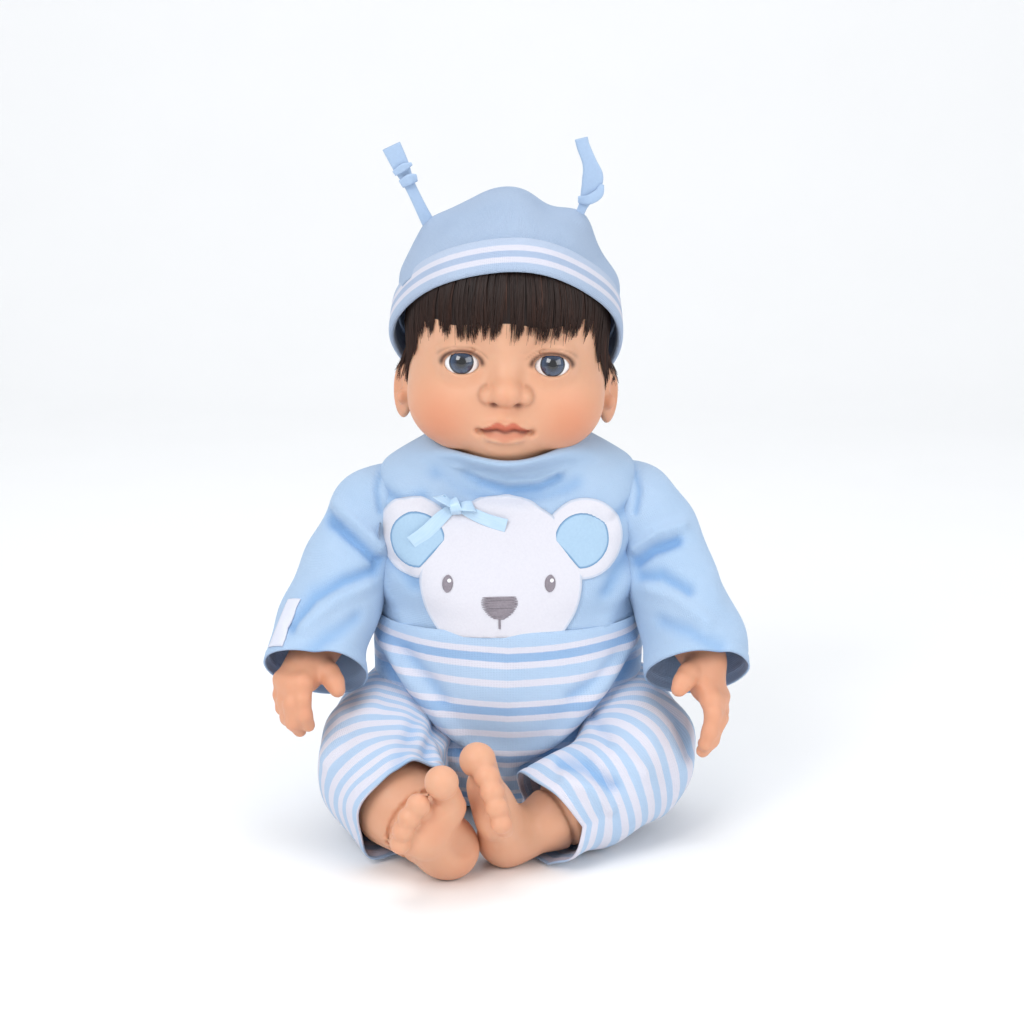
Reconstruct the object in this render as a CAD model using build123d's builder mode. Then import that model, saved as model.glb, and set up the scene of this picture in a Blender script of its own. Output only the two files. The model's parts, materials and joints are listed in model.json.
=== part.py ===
"""Seated soft-bodied baby doll with a pressable voice module in its tummy, as separate named pieces.

The doll faces -Y, +Z is up and its own left side is +X. The origin is on the floor under its seat.
The vinyl head, arms and legs turn on a cloth body that holds the voice module and a weighting bag.
"""

from build123d import *
import math
import os

os.makedirs("parts", exist_ok=True)

# ---- driving dimensions, in millimetres and degrees ----
CLOTH = 2.4  # garment thickness, seam allowance and nap included
VINYL = 2.4  # wall of the hollow head, arms and legs
PLASTIC = 1.6  # wall of the voice module's case
GAP = 0.4  # clearance between pieces that only lie against each other
RUNNING = 0.05  # radial clearance of the limb pins
LARGE = 400.0  # side of the blocks used for trimming

WAIST_Z = 97.0  # seam between the plain top and the striped seat of the romper
SHOULDER_Z = 146.0  # height of the axis both arms swing about
SIDE_X = 61.5  # plane where each arm starts
HIP = (0.0, -12.0, 36.0)  # a point on the axis both legs swing about
HIP_X = 25.0  # plane where each leg starts
NOTCH_R = 35.0  # clear space round the hip for the thigh
THIGH_RISE = 7.0  # degrees the thigh can rise before it meets the tummy
NECK_R = 22.0

# Cross-sections of the dressed torso: height, half width, half depth, centre in Y.
TORSO = [
    (0.0, 50.0, 40.0, 2.0),
    (10.0, 60.0, 48.0, 0.0),
    (40.0, 65.0, 52.0, -3.0),
    (80.0, 65.0, 52.0, -4.0),
    (112.0, 60.3, 45.0, -3.0),
    (140.0, 60.3, 38.0, 0.0),
    (158.0, 58.0, 33.0, 1.0),
    (167.0, 44.0, 31.0, 1.0),
]
# Cross-sections of the bare head, in the same form.
HEAD = [
    (176.0, 18.0, 24.0, -9.0),
    (180.0, 31.0, 36.0, -7.0),
    (188.0, 41.5, 44.0, -4.0),
    (200.0, 46.5, 50.0, -1.0),
    (218.0, 47.5, 55.0, 2.0),
    (240.0, 47.5, 57.0, 4.0),
    (261.0, 41.5, 50.5, 4.0),
    (279.0, 27.0, 34.0, 4.0),
    (289.0, 7.0, 9.0, 4.0),
]
HAIR = 1.8  # thickness of the wig
EYE_R, EYE_X, EYE_Y, EYE_Z = 9.0, 21.5, -39.0, 224.0
EAR_Y, EAR_Z = 6.5, 201.0

# The beanie is tipped back: its own axis leans by this much, and it slides off along that axis.
HAT_LEAN = 35.0
HAT_CENTRE = (0.0, 4.0, 232.0)
HAT_HALF = (51.6, 62.9, 65.2)  # inside half width, half depth and height of the crown
HAT_CLOTH = 1.5
BRIM_H, BAND_H = -5.0, 12.6  # brim edge and top of the band, along the hat's axis
HAIRLINE_H = -24.0
lean = math.radians(HAT_LEAN)
HAT_PLANE = Plane(
    origin=HAT_CENTRE, x_dir=(1, 0, 0), z_dir=(0, math.sin(lean), math.cos(lean))
)


# ---- shared shapes ----
def ellipse_stack(sections, frame=Plane.XY, grow=0.0):
    """A closed body lofted through ellipses at rising heights, grown outwards by a constant."""
    last = len(sections) - 1
    with BuildPart() as body:
        for i, (height, half_x, half_y, centre_y) in enumerate(sections):
            end = -grow if i == 0 else grow if i == last else 0.0
            with BuildSketch(frame.offset(height + end)):
                with Locations((0, centre_y)):
                    Ellipse(half_x + grow, half_y + grow)
        loft()
    return body.part


def tube(stations, grow=0.0):
    """A round limb lofted through (centre, radius) stations, each square to the run through it."""
    centres = [Vector(*centre) for centre, _ in stations]
    with BuildPart() as limb:
        for i, (_, radius) in enumerate(stations):
            run = centres[min(i + 1, len(centres) - 1)] - centres[max(i - 1, 0)]
            across = run.cross(Vector(1, 0, 0)).cross(run)
            with BuildSketch(Plane(origin=centres[i], x_dir=across, z_dir=run)):
                Circle(radius + grow)
        loft()
    return limb.part


def chain(stations, grow=0.0):
    """A bent limb made of tapered rods that share the ball between them."""
    rods = []
    for i, ((start, r_start), (end, r_end)) in enumerate(zip(stations, stations[1:])):
        inset = 0.3 if i else 0.0  # keeps the balls of neighbouring rods from coinciding
        rods.append(capsule(start, end, r_start + grow - inset, r_end + grow))
    return combine(rods)


def ellipsoid(half_x, half_y, half_z):
    """An ellipsoid at the origin."""
    with BuildPart() as ball:
        Sphere(1)
        scale(by=(half_x, half_y, half_z))
    return ball.part


def capsule(start, end, r_start, r_end):
    """A tapered rod with ball ends, as a solid of revolution."""
    start, run = Vector(*start), Vector(*end) - Vector(*start)
    taper = math.degrees(math.asin((r_start - r_end) / run.length))
    with BuildPart() as rod:
        with BuildSketch(Plane(origin=start, x_dir=run, z_dir=run.cross(Vector(0.3, 0.2, 0.9)))):
            with BuildLine():
                near = CenterArc((0, 0), r_start, 90 - taper, 90 + taper)
                far = CenterArc((run.length, 0), r_end, 0, 90 - taper)
                Line(near @ 0, far @ 1)
                Line(near @ 1, far @ 0)
            make_face()
        revolve(axis=Axis(start, run))
    return rod.part


def block(low, high):
    """A box between two corners."""
    with BuildPart() as cuboid:
        with Locations(tuple((a + b) / 2 for a, b in zip(low, high))):
            Box(*[abs(b - a) for a, b in zip(low, high)])
    return cuboid.part


def rod_x(x_from, x_to, y, z, radius):
    """A round bar along X."""
    with BuildPart() as bar:
        with BuildSketch(Plane.YZ.offset(x_from)):
            with Locations((y, z)):
                Circle(radius)
        extrude(amount=x_to - x_from)
    return bar.part


def rod_y(x, z, y_from, y_to, radius):
    """A round bar along Y."""
    with BuildPart() as bar:
        with BuildSketch(Plane.XZ.offset(-y_from)):
            with Locations((x, z)):
                Circle(radius)
        extrude(amount=y_from - y_to)
    return bar.part


def combine(solids, cuts=()):
    """One piece from solids that are fused, less the cuts."""
    with BuildPart() as piece:
        for solid in solids:
            add(solid)
        for cut in cuts:
            add(cut, mode=Mode.SUBTRACT)
    return piece.part


def group(solids):
    """Identical pieces that share one node, such as screws."""
    return Compound(children=list(solids))


def place(solid, centre):
    """A solid moved from the origin to a centre."""
    return Location(centre) * solid


def local_frame(origin, distal, sideways):
    """A plane whose z runs along distal and whose x leans towards sideways."""
    along, across = Vector(*distal), Vector(*sideways)
    return Plane(origin=origin, x_dir=across - along * along.dot(across), z_dir=along)


def save(part, name):
    """Labels a finished piece and writes it as its own file."""
    part.label = name
    export_step(part, f"parts/{name}.step")


SIDES = {"left": 1, "right": -1}

# ---- torso: cloth body and romper ----
torso_outer = ellipse_stack(TORSO)
torso_inner = ellipse_stack(TORSO, grow=-CLOTH)


def hip_notch(side):
    """Everything on one side of the torso that a swinging thigh needs clear."""
    near, far = side * (HIP_X - 1.0), side * LARGE / 2
    thigh = rod_x(near, far, HIP[1], HIP[2], NOTCH_R)
    below = block((near, HIP[1] - LARGE / 2, -LARGE / 2), (far, HIP[1] + NOTCH_R, HIP[2]))
    rise = math.radians(THIGH_RISE)
    with BuildPart() as lap:
        with BuildSketch(Plane(origin=HIP, x_dir=(1, 0, 0), z_dir=(0, math.sin(rise), math.cos(rise)))):
            with Locations(((near + far) / 2, -LARGE / 4)):
                Rectangle(abs(far - near), LARGE / 2)
        extrude(amount=NOTCH_R, both=True)
    return combine([thigh, below, lap.part])


notches = [hip_notch(side) for side in SIDES.values()]

# voice module: a flat case on edge behind the tummy, button forwards, battery door to the back
MODULE_Z = 110.0
MODULE_W, MODULE_H, CASE_CORNER = 56.0, 50.0, 5.0
CASE_FRONT_Y, CASE_SPLIT_Y, CASE_BACK_Y = -14.0, -3.0, 12.0
BUTTON_R, BUTTON_TRAVEL, BUTTON_FACE_Y = 11.0, 2.0, -19.5
STEM_R = 3.5

# the arm, leg and neck fittings inside the cloth body
DISC_T, PIN_R = 3.0, 2.5
ARM_DISC_R, LEG_DISC_R = 9.5, 13.0
SHOULDER_DISC_X, HIP_DISC_X = 49.0, 19.0
NECK_BASE_Z, NECK_LIP_T, NECK_LIP_R = 154.0, 3.0, 25.6
CASING_R = 27.2
PELLET_ENDS = ((-10.0, 26.0, 21.0), (10.0, 26.0, 21.0))
PELLET_R = 13.0
SEWN = 0.05  # space under a piece that is sewn flat on another

module_pocket = block(
    (-MODULE_W / 2 - GAP, BUTTON_FACE_Y - BUTTON_TRAVEL, MODULE_Z - MODULE_H / 2 - GAP),
    (MODULE_W / 2 + GAP, CASE_BACK_Y + 2.0, MODULE_Z + MODULE_H / 2 + GAP),
)
neck_hole = place(Cylinder(CASING_R + GAP, LARGE), (0, 0, NECK_BASE_Z - GAP + LARGE / 2))
pellet_room = capsule(*PELLET_ENDS, PELLET_R + GAP, PELLET_R + GAP)
body_cuts = [*notches, module_pocket, neck_hole, pellet_room]
for side in SIDES.values():
    shoulder_span = (side * (SHOULDER_DISC_X - GAP), side * LARGE / 2)
    hip_span = (side * (HIP_DISC_X - DISC_T - GAP), side * HIP_X)
    body_cuts.append(rod_x(*shoulder_span, 0, SHOULDER_Z, ARM_DISC_R + GAP))
    body_cuts.append(rod_x(*hip_span, HIP[1], HIP[2], LEG_DISC_R + GAP))
save(combine([ellipse_stack(TORSO, grow=-CLOTH - 2 * SEWN)], body_cuts), "stuffed_body")
save(capsule(*PELLET_ENDS, PELLET_R, PELLET_R), "pellet_bag")

pin_holes = [rod_x(side * 50, side * 80, 0, SHOULDER_Z, PIN_R + 1.0) for side in SIDES.values()]
neck_opening = place(Cylinder(CASING_R + 1.0, 60), (0, 0, 175))
above_waist = block((-LARGE / 2, -LARGE / 2, WAIST_Z), (LARGE / 2, LARGE / 2, LARGE))
below_waist = block((-LARGE / 2, -LARGE / 2, -LARGE), (LARGE / 2, LARGE / 2, WAIST_Z))
save(combine([torso_outer], [torso_inner, below_waist, neck_opening, *pin_holes, *notches]), "romper_top")
save(combine([torso_outer], [torso_inner, above_waist, *notches]), "romper_seat")

COLLAR_R, COLLAR_H, COLLAR_ROUND = 34.0, 4.0, 1.2
with BuildPart() as collar:
    with BuildSketch(Plane.XY.offset(TORSO[-1][0] + SEWN)):
        Circle(COLLAR_R)
        Circle(CASING_R + 1.0, mode=Mode.SUBTRACT)
    extrude(amount=COLLAR_H)
    fillet(collar.edges().group_by(Axis.Z)[-1], COLLAR_ROUND)
save(collar.part, "collar")

# ---- bear applique on the chest ----
BEAR_X, BEAR_Z, BEAR_R = -3.0, 123.0, 37.0
BEAR_EAR_R, BEAR_EAR_X, BEAR_EAR_Z = 17.0, 41.0, 20.0
FACE_T, EAR_T, STRIP_T = 1.0, 1.4, 1.2
STRIP_W, STRIP_L, STRIP_Z = 14.0, 60.0, 131.0


def applique(outline, thickness, front=1):
    """The layer sewn on the torso's front (or back) behind a flat outline drawn on XZ."""
    over, under = ellipse_stack(TORSO, grow=thickness), ellipse_stack(TORSO, grow=SEWN)
    with BuildPart() as patch:
        add(extrude(outline, amount=front * 90))
        add(over, mode=Mode.INTERSECT)
        add(under, mode=Mode.SUBTRACT)
    return patch.part


with BuildSketch(Plane.XZ) as bear_outline:
    with Locations((BEAR_X, BEAR_Z)):
        Circle(BEAR_R)
    with Locations((BEAR_X, WAIST_Z - LARGE / 2)):
        Rectangle(LARGE, LARGE, mode=Mode.SUBTRACT)
save(applique(bear_outline.sketch, FACE_T), "bear_face")
with BuildSketch(Plane.XZ) as ear_outline:
    with Locations(*[(BEAR_X + side * BEAR_EAR_X, BEAR_Z + BEAR_EAR_Z) for side in SIDES.values()]):
        Circle(BEAR_EAR_R)
    with Locations((BEAR_X, BEAR_Z)):
        Circle(BEAR_R + 0.3, mode=Mode.SUBTRACT)
    Rectangle(2 * (SIDE_X - 3), LARGE, mode=Mode.INTERSECT)
save(applique(ear_outline.sketch, EAR_T), "bear_ears")

# the hook-and-loop strip that closes the top's back opening
with BuildSketch(Plane.XZ) as strip_outline:
    with Locations((0, STRIP_Z)):
        RectangleRounded(STRIP_W, STRIP_L, 2)
save(applique(strip_outline.sketch, STRIP_T, front=-1), "back_closure")

# the ribbon bow on the bear's ear: a knot and two loops, shaped to lie on the torso
BOW = (-25.0, -31.5, 157.0)
near, far, rise = 2.0, 10.0, 3.0
bow_loops = [
    capsule((BOW[0] + side * near, *BOW[1:]), (BOW[0] + side * far, BOW[1], BOW[2] + rise), 2.4, 2.0)
    for side in SIDES.values()
]
bow_knot = place(ellipsoid(3.4, 2.4, 3.6), BOW)
save(combine([bow_knot, *bow_loops], [ellipse_stack(TORSO, grow=1.6)]), "ribbon_bow")

# ---- voice module ----
HALF_W, HALF_H = MODULE_W / 2, MODULE_H / 2
CASE_TOP, CASE_BOTTOM = MODULE_Z + HALF_H, MODULE_Z - HALF_H
BATTERY_R, BATTERY_LONG = 5.2, 44.0
TERMINAL_R, TERMINAL_H = 1.9, 1.0
BATTERY_X = (-11.2, 0.0, 11.2)
BATTERY_Y = CASE_BACK_Y - 7.0
BAY_HALF_W, BAY_HALF_H, BAY_DEEP, BAY_WALL = 18.0, 23.0, 12.4, 1.2
SCREW_X, SCREW_Z = 24.0, 21.0
BOSS_R, SCREW_HOLE_R, SCREW_HEAD_ROOM = 3.0, 1.1, 2.3
SCREW_HEAD_T, CROSS_HALF, CROSS_THIN, CROSS_DEEP = 1.2, 1.1, 0.25, 0.6
GRILLE_X, GRILLE_Z, GRILLE_R = 22.5, (-10, -5, 0, 5, 10), 0.9
DOOR_T, DOOR_OVER, DOOR_GAP = 1.5, 0.8, 0.2
DOOR_SCREW_X, DOOR_TAB, DOOR_HALF_H = -22.4, 4.0, 23.8
LEAD_R = 0.4
SWITCH_X, SWITCH_Z, SWITCH_TRAVEL = 22.6, MODULE_Z + 4.0, 3.0
SWITCH_HALF_W, SWITCH_HALF_H = 1.1, 1.2
screw_places = [(x, MODULE_Z + z) for x in (-SCREW_X, SCREW_X) for z in (-SCREW_Z, SCREW_Z)]
lead_places = [(BATTERY_X[0], MODULE_Z + BAY_HALF_H - 0.3), (BATTERY_X[2], MODULE_Z - BAY_HALF_H + 0.3)]


def case_shell(y_front, y_back):
    """A box with rounded upright corners between two Y planes."""
    with BuildPart() as box:
        with BuildSketch(Plane.XZ.offset(-y_front)):
            with Locations((0, MODULE_Z)):
                RectangleRounded(MODULE_W, MODULE_H, CASE_CORNER)
        extrude(amount=y_front - y_back)
    return box.part


def case_cavity(y_front, y_back):
    """The room inside the case's walls between two Y planes."""
    return block(
        (-HALF_W + PLASTIC, y_front, CASE_BOTTOM + PLASTIC), (HALF_W - PLASTIC, y_back, CASE_TOP - PLASTIC)
    )


def posts(y_from, y_to, radius):
    """A round bar at each of the case's four screws."""
    return [rod_y(x, z, y_from, y_to, radius) for x, z in screw_places]


front_wall = combine(
    [case_shell(CASE_FRONT_Y, CASE_SPLIT_Y)], [case_cavity(CASE_FRONT_Y + PLASTIC, CASE_SPLIT_Y + 1)]
)
button_hole = rod_y(0, MODULE_Z, CASE_FRONT_Y - 1, CASE_FRONT_Y + 4, BUTTON_R + GAP)
grille = [
    rod_y(x, MODULE_Z + z, CASE_FRONT_Y - 1, CASE_FRONT_Y + 4, GRILLE_R)
    for x in (-GRILLE_X, GRILLE_X)
    for z in GRILLE_Z
]
case_front = combine(
    [front_wall, *posts(CASE_FRONT_Y + 1, CASE_SPLIT_Y, BOSS_R)],
    [button_hole, *grille, *posts(CASE_SPLIT_Y - 8, CASE_BACK_Y + 1, SCREW_HOLE_R)],
)
save(case_front, "case_front")

bay = block(
    (-BAY_HALF_W, CASE_BACK_Y - BAY_DEEP, MODULE_Z - BAY_HALF_H),
    (BAY_HALF_W, CASE_BACK_Y + 1, MODULE_Z + BAY_HALF_H),
)
bay_wall = block(
    (-BAY_HALF_W - BAY_WALL, CASE_BACK_Y - BAY_DEEP - BAY_WALL, CASE_BOTTOM + 1),
    (BAY_HALF_W + BAY_WALL, CASE_BACK_Y, CASE_TOP - 1),
)
door_seat = block(
    (-BAY_HALF_W - DOOR_OVER - DOOR_GAP, CASE_BACK_Y - DOOR_T - 0.1, MODULE_Z - DOOR_HALF_H - DOOR_GAP),
    (BAY_HALF_W + DOOR_OVER + DOOR_GAP, CASE_BACK_Y + 1, MODULE_Z + DOOR_HALF_H + DOOR_GAP),
)
door_tab_seat = block(
    (DOOR_SCREW_X - 3.4, CASE_BACK_Y - DOOR_T - 0.1, MODULE_Z - DOOR_TAB - DOOR_GAP),
    (-BAY_HALF_W, CASE_BACK_Y + 1, MODULE_Z + DOOR_TAB + DOOR_GAP),
)
door_boss = rod_y(DOOR_SCREW_X, MODULE_Z, CASE_BACK_Y - 7.0, CASE_BACK_Y - DOOR_T - 0.1, 2.6)
boss_rib = block(
    (-HALF_W + PLASTIC / 2, CASE_BACK_Y - 7.0, MODULE_Z - PLASTIC / 2),
    (-BAY_HALF_W - BAY_WALL / 2, CASE_BACK_Y - DOOR_T - 0.1, MODULE_Z + PLASTIC / 2),
)
door_screw_hole = rod_y(DOOR_SCREW_X, MODULE_Z, CASE_BACK_Y - 8, CASE_BACK_Y, 0.95)
lead_holes = [rod_y(x, z, CASE_SPLIT_Y, CASE_BACK_Y - 10, LEAD_R + DOOR_GAP) for x, z in lead_places]
switch_slot = block(
    (SWITCH_X - SWITCH_HALF_W - DOOR_GAP, CASE_BACK_Y - 3, SWITCH_Z - SWITCH_HALF_H - 0.3),
    (SWITCH_X + SWITCH_HALF_W + DOOR_GAP, CASE_BACK_Y + 1, SWITCH_Z + SWITCH_HALF_H + 0.3 + SWITCH_TRAVEL),
)
rear_wall = combine(
    [case_shell(CASE_SPLIT_Y, CASE_BACK_Y)], [case_cavity(CASE_SPLIT_Y - 1, CASE_BACK_Y - PLASTIC)]
)
screw_holes = posts(CASE_SPLIT_Y - 1, CASE_BACK_Y + 1, SCREW_HOLE_R)
screw_seats = posts(CASE_BACK_Y - 1.8, CASE_BACK_Y + 1, SCREW_HEAD_ROOM)
case_rear = combine(
    [rear_wall, bay_wall, *posts(CASE_SPLIT_Y, CASE_BACK_Y - 1, BOSS_R), door_boss, boss_rib],
    [bay, door_seat, door_tab_seat, door_screw_hole, *lead_holes, switch_slot, *screw_holes, *screw_seats],
)
save(case_rear, "case_rear")

door_plate = block(
    (-BAY_HALF_W - DOOR_OVER, CASE_BACK_Y - DOOR_T, MODULE_Z - DOOR_HALF_H),
    (BAY_HALF_W + DOOR_OVER, CASE_BACK_Y, MODULE_Z + DOOR_HALF_H),
)
door_tab = block(
    (DOOR_SCREW_X - 3.2, CASE_BACK_Y - DOOR_T, MODULE_Z - DOOR_TAB),
    (-BAY_HALF_W, CASE_BACK_Y, MODULE_Z + DOOR_TAB),
)
grip_ribs = [
    block((-8, CASE_BACK_Y - 0.1, MODULE_Z + z), (8, CASE_BACK_Y + 0.3, MODULE_Z + z + 1)) for z in (10, 13, 16)
]
door_hole = rod_y(DOOR_SCREW_X, MODULE_Z, CASE_BACK_Y - 3, CASE_BACK_Y + 1, SCREW_HOLE_R)
save(combine([door_plate, door_tab, *grip_ribs], [door_hole]), "battery_door")


def screw(x, z, y_head, length, head_r, core_r):
    """A pan-head screw along Y with its head at y_head, pointing forwards, with a cross recess."""
    under_head = y_head - SCREW_HEAD_T
    head = rod_y(x, z, under_head, y_head, head_r)
    shank = rod_y(x, z, under_head - length, under_head + 0.1, core_r)
    recess = [
        block((x - half_x, y_head - CROSS_DEEP, z - half_z), (x + half_x, y_head + 1, z + half_z))
        for half_x, half_z in ((CROSS_HALF, CROSS_THIN), (CROSS_THIN, CROSS_HALF))
    ]
    return combine([head, shank], recess)


save(group([screw(x, z, CASE_BACK_Y - 0.5, 16.0, 2.1, 1.05) for x, z in screw_places]), "case_screws")
save(screw(DOOR_SCREW_X, MODULE_Z, CASE_BACK_Y + 1.25, 6.0, 2.2, 0.9), "battery_door_screw")

batteries = []
for x in BATTERY_X:
    with BuildPart() as cell:
        with BuildSketch(Plane.XY.offset(MODULE_Z - BATTERY_LONG / 2)):
            with Locations((x, BATTERY_Y)):
                Circle(BATTERY_R)
        extrude(amount=BATTERY_LONG - TERMINAL_H)
        with BuildSketch(Plane.XY.offset(MODULE_Z + BATTERY_LONG / 2 - TERMINAL_H)):
            with Locations((x, BATTERY_Y)):
                Circle(TERMINAL_R)
        extrude(amount=TERMINAL_H)
    batteries.append(cell.part)
save(group(batteries), "batteries")
contacts = [
    block((x - 4, BATTERY_Y - 4, z), (x + 4, BATTERY_Y + 4, z + 0.4))
    for x in BATTERY_X
    for z in (MODULE_Z - BAY_HALF_H + 0.1, MODULE_Z + BAY_HALF_H - 0.5)
]
save(group(contacts), "battery_contacts")

BOARD_Y, BOARD_T, BOARD_W, BOARD_H = -5.2, 1.2, 36.0, 46.2  # BOARD_Y is the board's back face
CHIPS = ((-9, MODULE_Z + 8), (8, MODULE_Z - 9))
with BuildPart() as board:
    with BuildSketch(Plane.XZ.offset(-(BOARD_Y - BOARD_T))):
        with Locations((0, MODULE_Z)):
            Rectangle(BOARD_W, BOARD_H)
    extrude(amount=-BOARD_T)
    with BuildSketch(Plane.XZ.offset(-BOARD_Y)):
        with Locations(*CHIPS):
            Rectangle(7, 6)
    extrude(amount=-1.0)
save(board.part, "circuit_board")
PRESS_Y, PRESS_HALF = -8.6, 3.0  # front face and half side of the switch that the button presses
press_switch = block(
    (-PRESS_HALF, PRESS_Y, MODULE_Z - PRESS_HALF), (PRESS_HALF, BOARD_Y - BOARD_T - SEWN, MODULE_Z + PRESS_HALF)
)
save(press_switch, "press_switch")

CASE_INSIDE_Y = CASE_FRONT_Y + PLASTIC
SPEAKER_X, SPEAKER_W, SPEAKER_H, SPEAKER_T = -21.0, 9.5, 34.0, 4.2
with BuildPart() as speaker:
    with BuildSketch(Plane.XZ.offset(-(CASE_INSIDE_Y + SEWN))):
        with Locations((SPEAKER_X, MODULE_Z)):
            RectangleRounded(SPEAKER_W, SPEAKER_H, 4)
    extrude(amount=-SPEAKER_T)
save(speaker.part, "speaker")

FLANGE_T, FLANGE_OVER = 0.9, 1.6
button_cap = rod_y(0, MODULE_Z, BUTTON_FACE_Y, CASE_INSIDE_Y + 0.5, BUTTON_R)
button_flange = rod_y(0, MODULE_Z, CASE_INSIDE_Y + SEWN, CASE_INSIDE_Y + FLANGE_T, BUTTON_R + FLANGE_OVER)
button_stem = rod_y(0, MODULE_Z, CASE_INSIDE_Y, PRESS_Y - BUTTON_TRAVEL, STEM_R)
with BuildPart() as button:
    add(button_cap)
    fillet(button.edges().group_by(Axis.Y)[0], 1.6)
    add(button_flange)
    add(button_stem)
save(button.part, "voice_button")
lead_span = (CASE_INSIDE_Y + SPEAKER_T + SEWN, BOARD_Y - BOARD_T)
speaker_leads = [rod_y(SPEAKER_X + 3.8, MODULE_Z + z, *lead_span, LEAD_R) for z in (-4, 4)]
save(group(speaker_leads), "speaker_leads")
save(group([rod_y(x, z, BOARD_Y, BATTERY_Y - 4, LEAD_R) for x, z in lead_places]), "battery_leads")

SPRING_R, SPRING_WIRE, SPRING_TURNS = 5.4, 0.35, 3
SPRING_FROM = CASE_INSIDE_Y + FLANGE_T + SPRING_WIRE
SPRING_TO = BOARD_Y - BOARD_T - SPRING_WIRE
with BuildPart() as spring:
    with BuildLine() as coil:
        Helix(pitch=(SPRING_TO - SPRING_FROM) / SPRING_TURNS, height=SPRING_TO - SPRING_FROM, radius=SPRING_R)
    with BuildSketch(Plane(origin=coil.line @ 0, z_dir=coil.line % 0)):
        Circle(SPRING_WIRE)
    sweep()
save(Plane(origin=(0, SPRING_TO, MODULE_Z), z_dir=(0, -1, 0)).location * spring.part, "button_spring")

slider = block(
    (SWITCH_X - SWITCH_HALF_W, CASE_BACK_Y - 2.8, SWITCH_Z - SWITCH_HALF_H),
    (SWITCH_X + SWITCH_HALF_W, CASE_BACK_Y - DOOR_GAP, SWITCH_Z + SWITCH_HALF_H),
)
save(slider, "power_switch")

# ---- neck joint ----
LIP_ROOM, CASING_STEP, CASING_SLOPE, CASING_H = 4.6, 5.0, 7.0, 17.0
THROAT_R, THROAT_WALL = NECK_R + GAP, NECK_R + 2.0
with BuildPart() as casing:
    with BuildSketch(Plane.XZ):
        with BuildLine():
            Polyline(
                (NECK_LIP_R + GAP, NECK_BASE_Z),
                (CASING_R, NECK_BASE_Z),
                (CASING_R, NECK_BASE_Z + CASING_STEP),
                (THROAT_WALL, NECK_BASE_Z + CASING_SLOPE),
                (THROAT_WALL, NECK_BASE_Z + CASING_H),
                (THROAT_R, NECK_BASE_Z + CASING_H),
                (THROAT_R, NECK_BASE_Z + LIP_ROOM),
                (NECK_LIP_R + GAP, NECK_BASE_Z + LIP_ROOM),
                close=True,
            )
        make_face()
    revolve(axis=Axis.Z)
save(casing.part, "neck_casing")
TIE_R, TIE_WALL, TIE_H = THROAT_WALL + SEWN, 1.55, 3.4
with BuildPart() as neck_tie:
    with BuildSketch(Plane.XY.offset(NECK_BASE_Z + 9)):
        Circle(TIE_R + TIE_WALL)
        with Locations((0, TIE_R + 1.35)):
            Rectangle(4.6, 3.6)
        Circle(TIE_R, mode=Mode.SUBTRACT)
    extrude(amount=TIE_H)
save(neck_tie.part, "neck_tie")

# ---- head ----
EAR_SIZE, EAR_X = (5.5, 7.5, 13.0), 48.5
NECK_TOP_Z, NECK_FOOT_Z = 186.0, NECK_BASE_Z + 0.3
head_outer = ellipse_stack(HEAD)
head_inner = ellipse_stack(HEAD, grow=-VINYL)
ears = [place(ellipsoid(*EAR_SIZE), (side * EAR_X, EAR_Y, EAR_Z)) for side in SIDES.values()]
nose = place(ellipsoid(10.0, 8.0, 7.5), (0, -51.5, 210.0))
lips = place(ellipsoid(12.5, 5.0, 5.0), (0, -46.5, 193.5))
neck_tube = place(Cylinder(NECK_R, NECK_TOP_Z - NECK_FOOT_Z), (0, 0, (NECK_FOOT_Z + NECK_TOP_Z) / 2))
neck_lip = place(Cylinder(NECK_LIP_R, NECK_LIP_T), (0, 0, NECK_FOOT_Z + NECK_LIP_T / 2))
neck_bore = place(Cylinder(NECK_R - VINYL, 44), (0, 0, 172))
eye_places = {name: (side * EYE_X, EYE_Y, EYE_Z) for name, side in SIDES.items()}
eye_sockets = {name: place(Sphere(EYE_R + 0.2), centre) for name, centre in eye_places.items()}
head_shell = combine(
    [head_outer, *ears, nose, lips, neck_tube, neck_lip], [head_inner, neck_bore, *eye_sockets.values()]
)
save(head_shell, "head_shell")
in_front_of_cup = block((-LARGE, -LARGE, 0), (LARGE, -33.0, LARGE))
for name, centre in eye_places.items():
    save(place(Sphere(EYE_R), centre), f"eye_{name}")
    cup = combine([place(Sphere(EYE_R + 1.6), centre)], [eye_sockets[name], in_front_of_cup])
    save(cup, f"eye_cup_{name}")

ear_hole = ellipsoid(*[half + GAP for half in EAR_SIZE])
ear_room = [place(ear_hole, (side * EAR_X, EAR_Y, EAR_Z)) for side in SIDES.values()]
wig_outer, wig_inner = ellipse_stack(HEAD, grow=HAIR), ellipse_stack(HEAD, grow=0.1)
with BuildPart() as hair:
    add(wig_outer)
    split(bisect_by=HAT_PLANE.offset(HAIRLINE_H), keep=Keep.TOP)
    add(wig_inner, mode=Mode.SUBTRACT)
    add(ear_room, mode=Mode.SUBTRACT)
save(hair.part, "hair")


# ---- beanie ----
def cap(grow, low, high=None):
    """The beanie's domed shape from one height to another along its own axis."""
    half_u, half_v, top = (half + grow for half in HAT_HALF)
    heights = [low, 0.0, (high or 0.0) / 2, high]
    if high is None:
        heights = [low, 0.0] + [share * top for share in (0.25, 0.5, 0.7, 0.85, 0.95, 0.99)]
    sections = []
    for height in heights:
        share = math.sqrt(1 - (max(height, 0.0) / top) ** 2)
        sections.append((height, half_v * share, half_u * share, 0.0))
    turned = Plane(origin=HAT_PLANE.origin, x_dir=HAT_PLANE.y_dir, z_dir=HAT_PLANE.z_dir)
    return ellipse_stack(sections, frame=turned)


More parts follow.
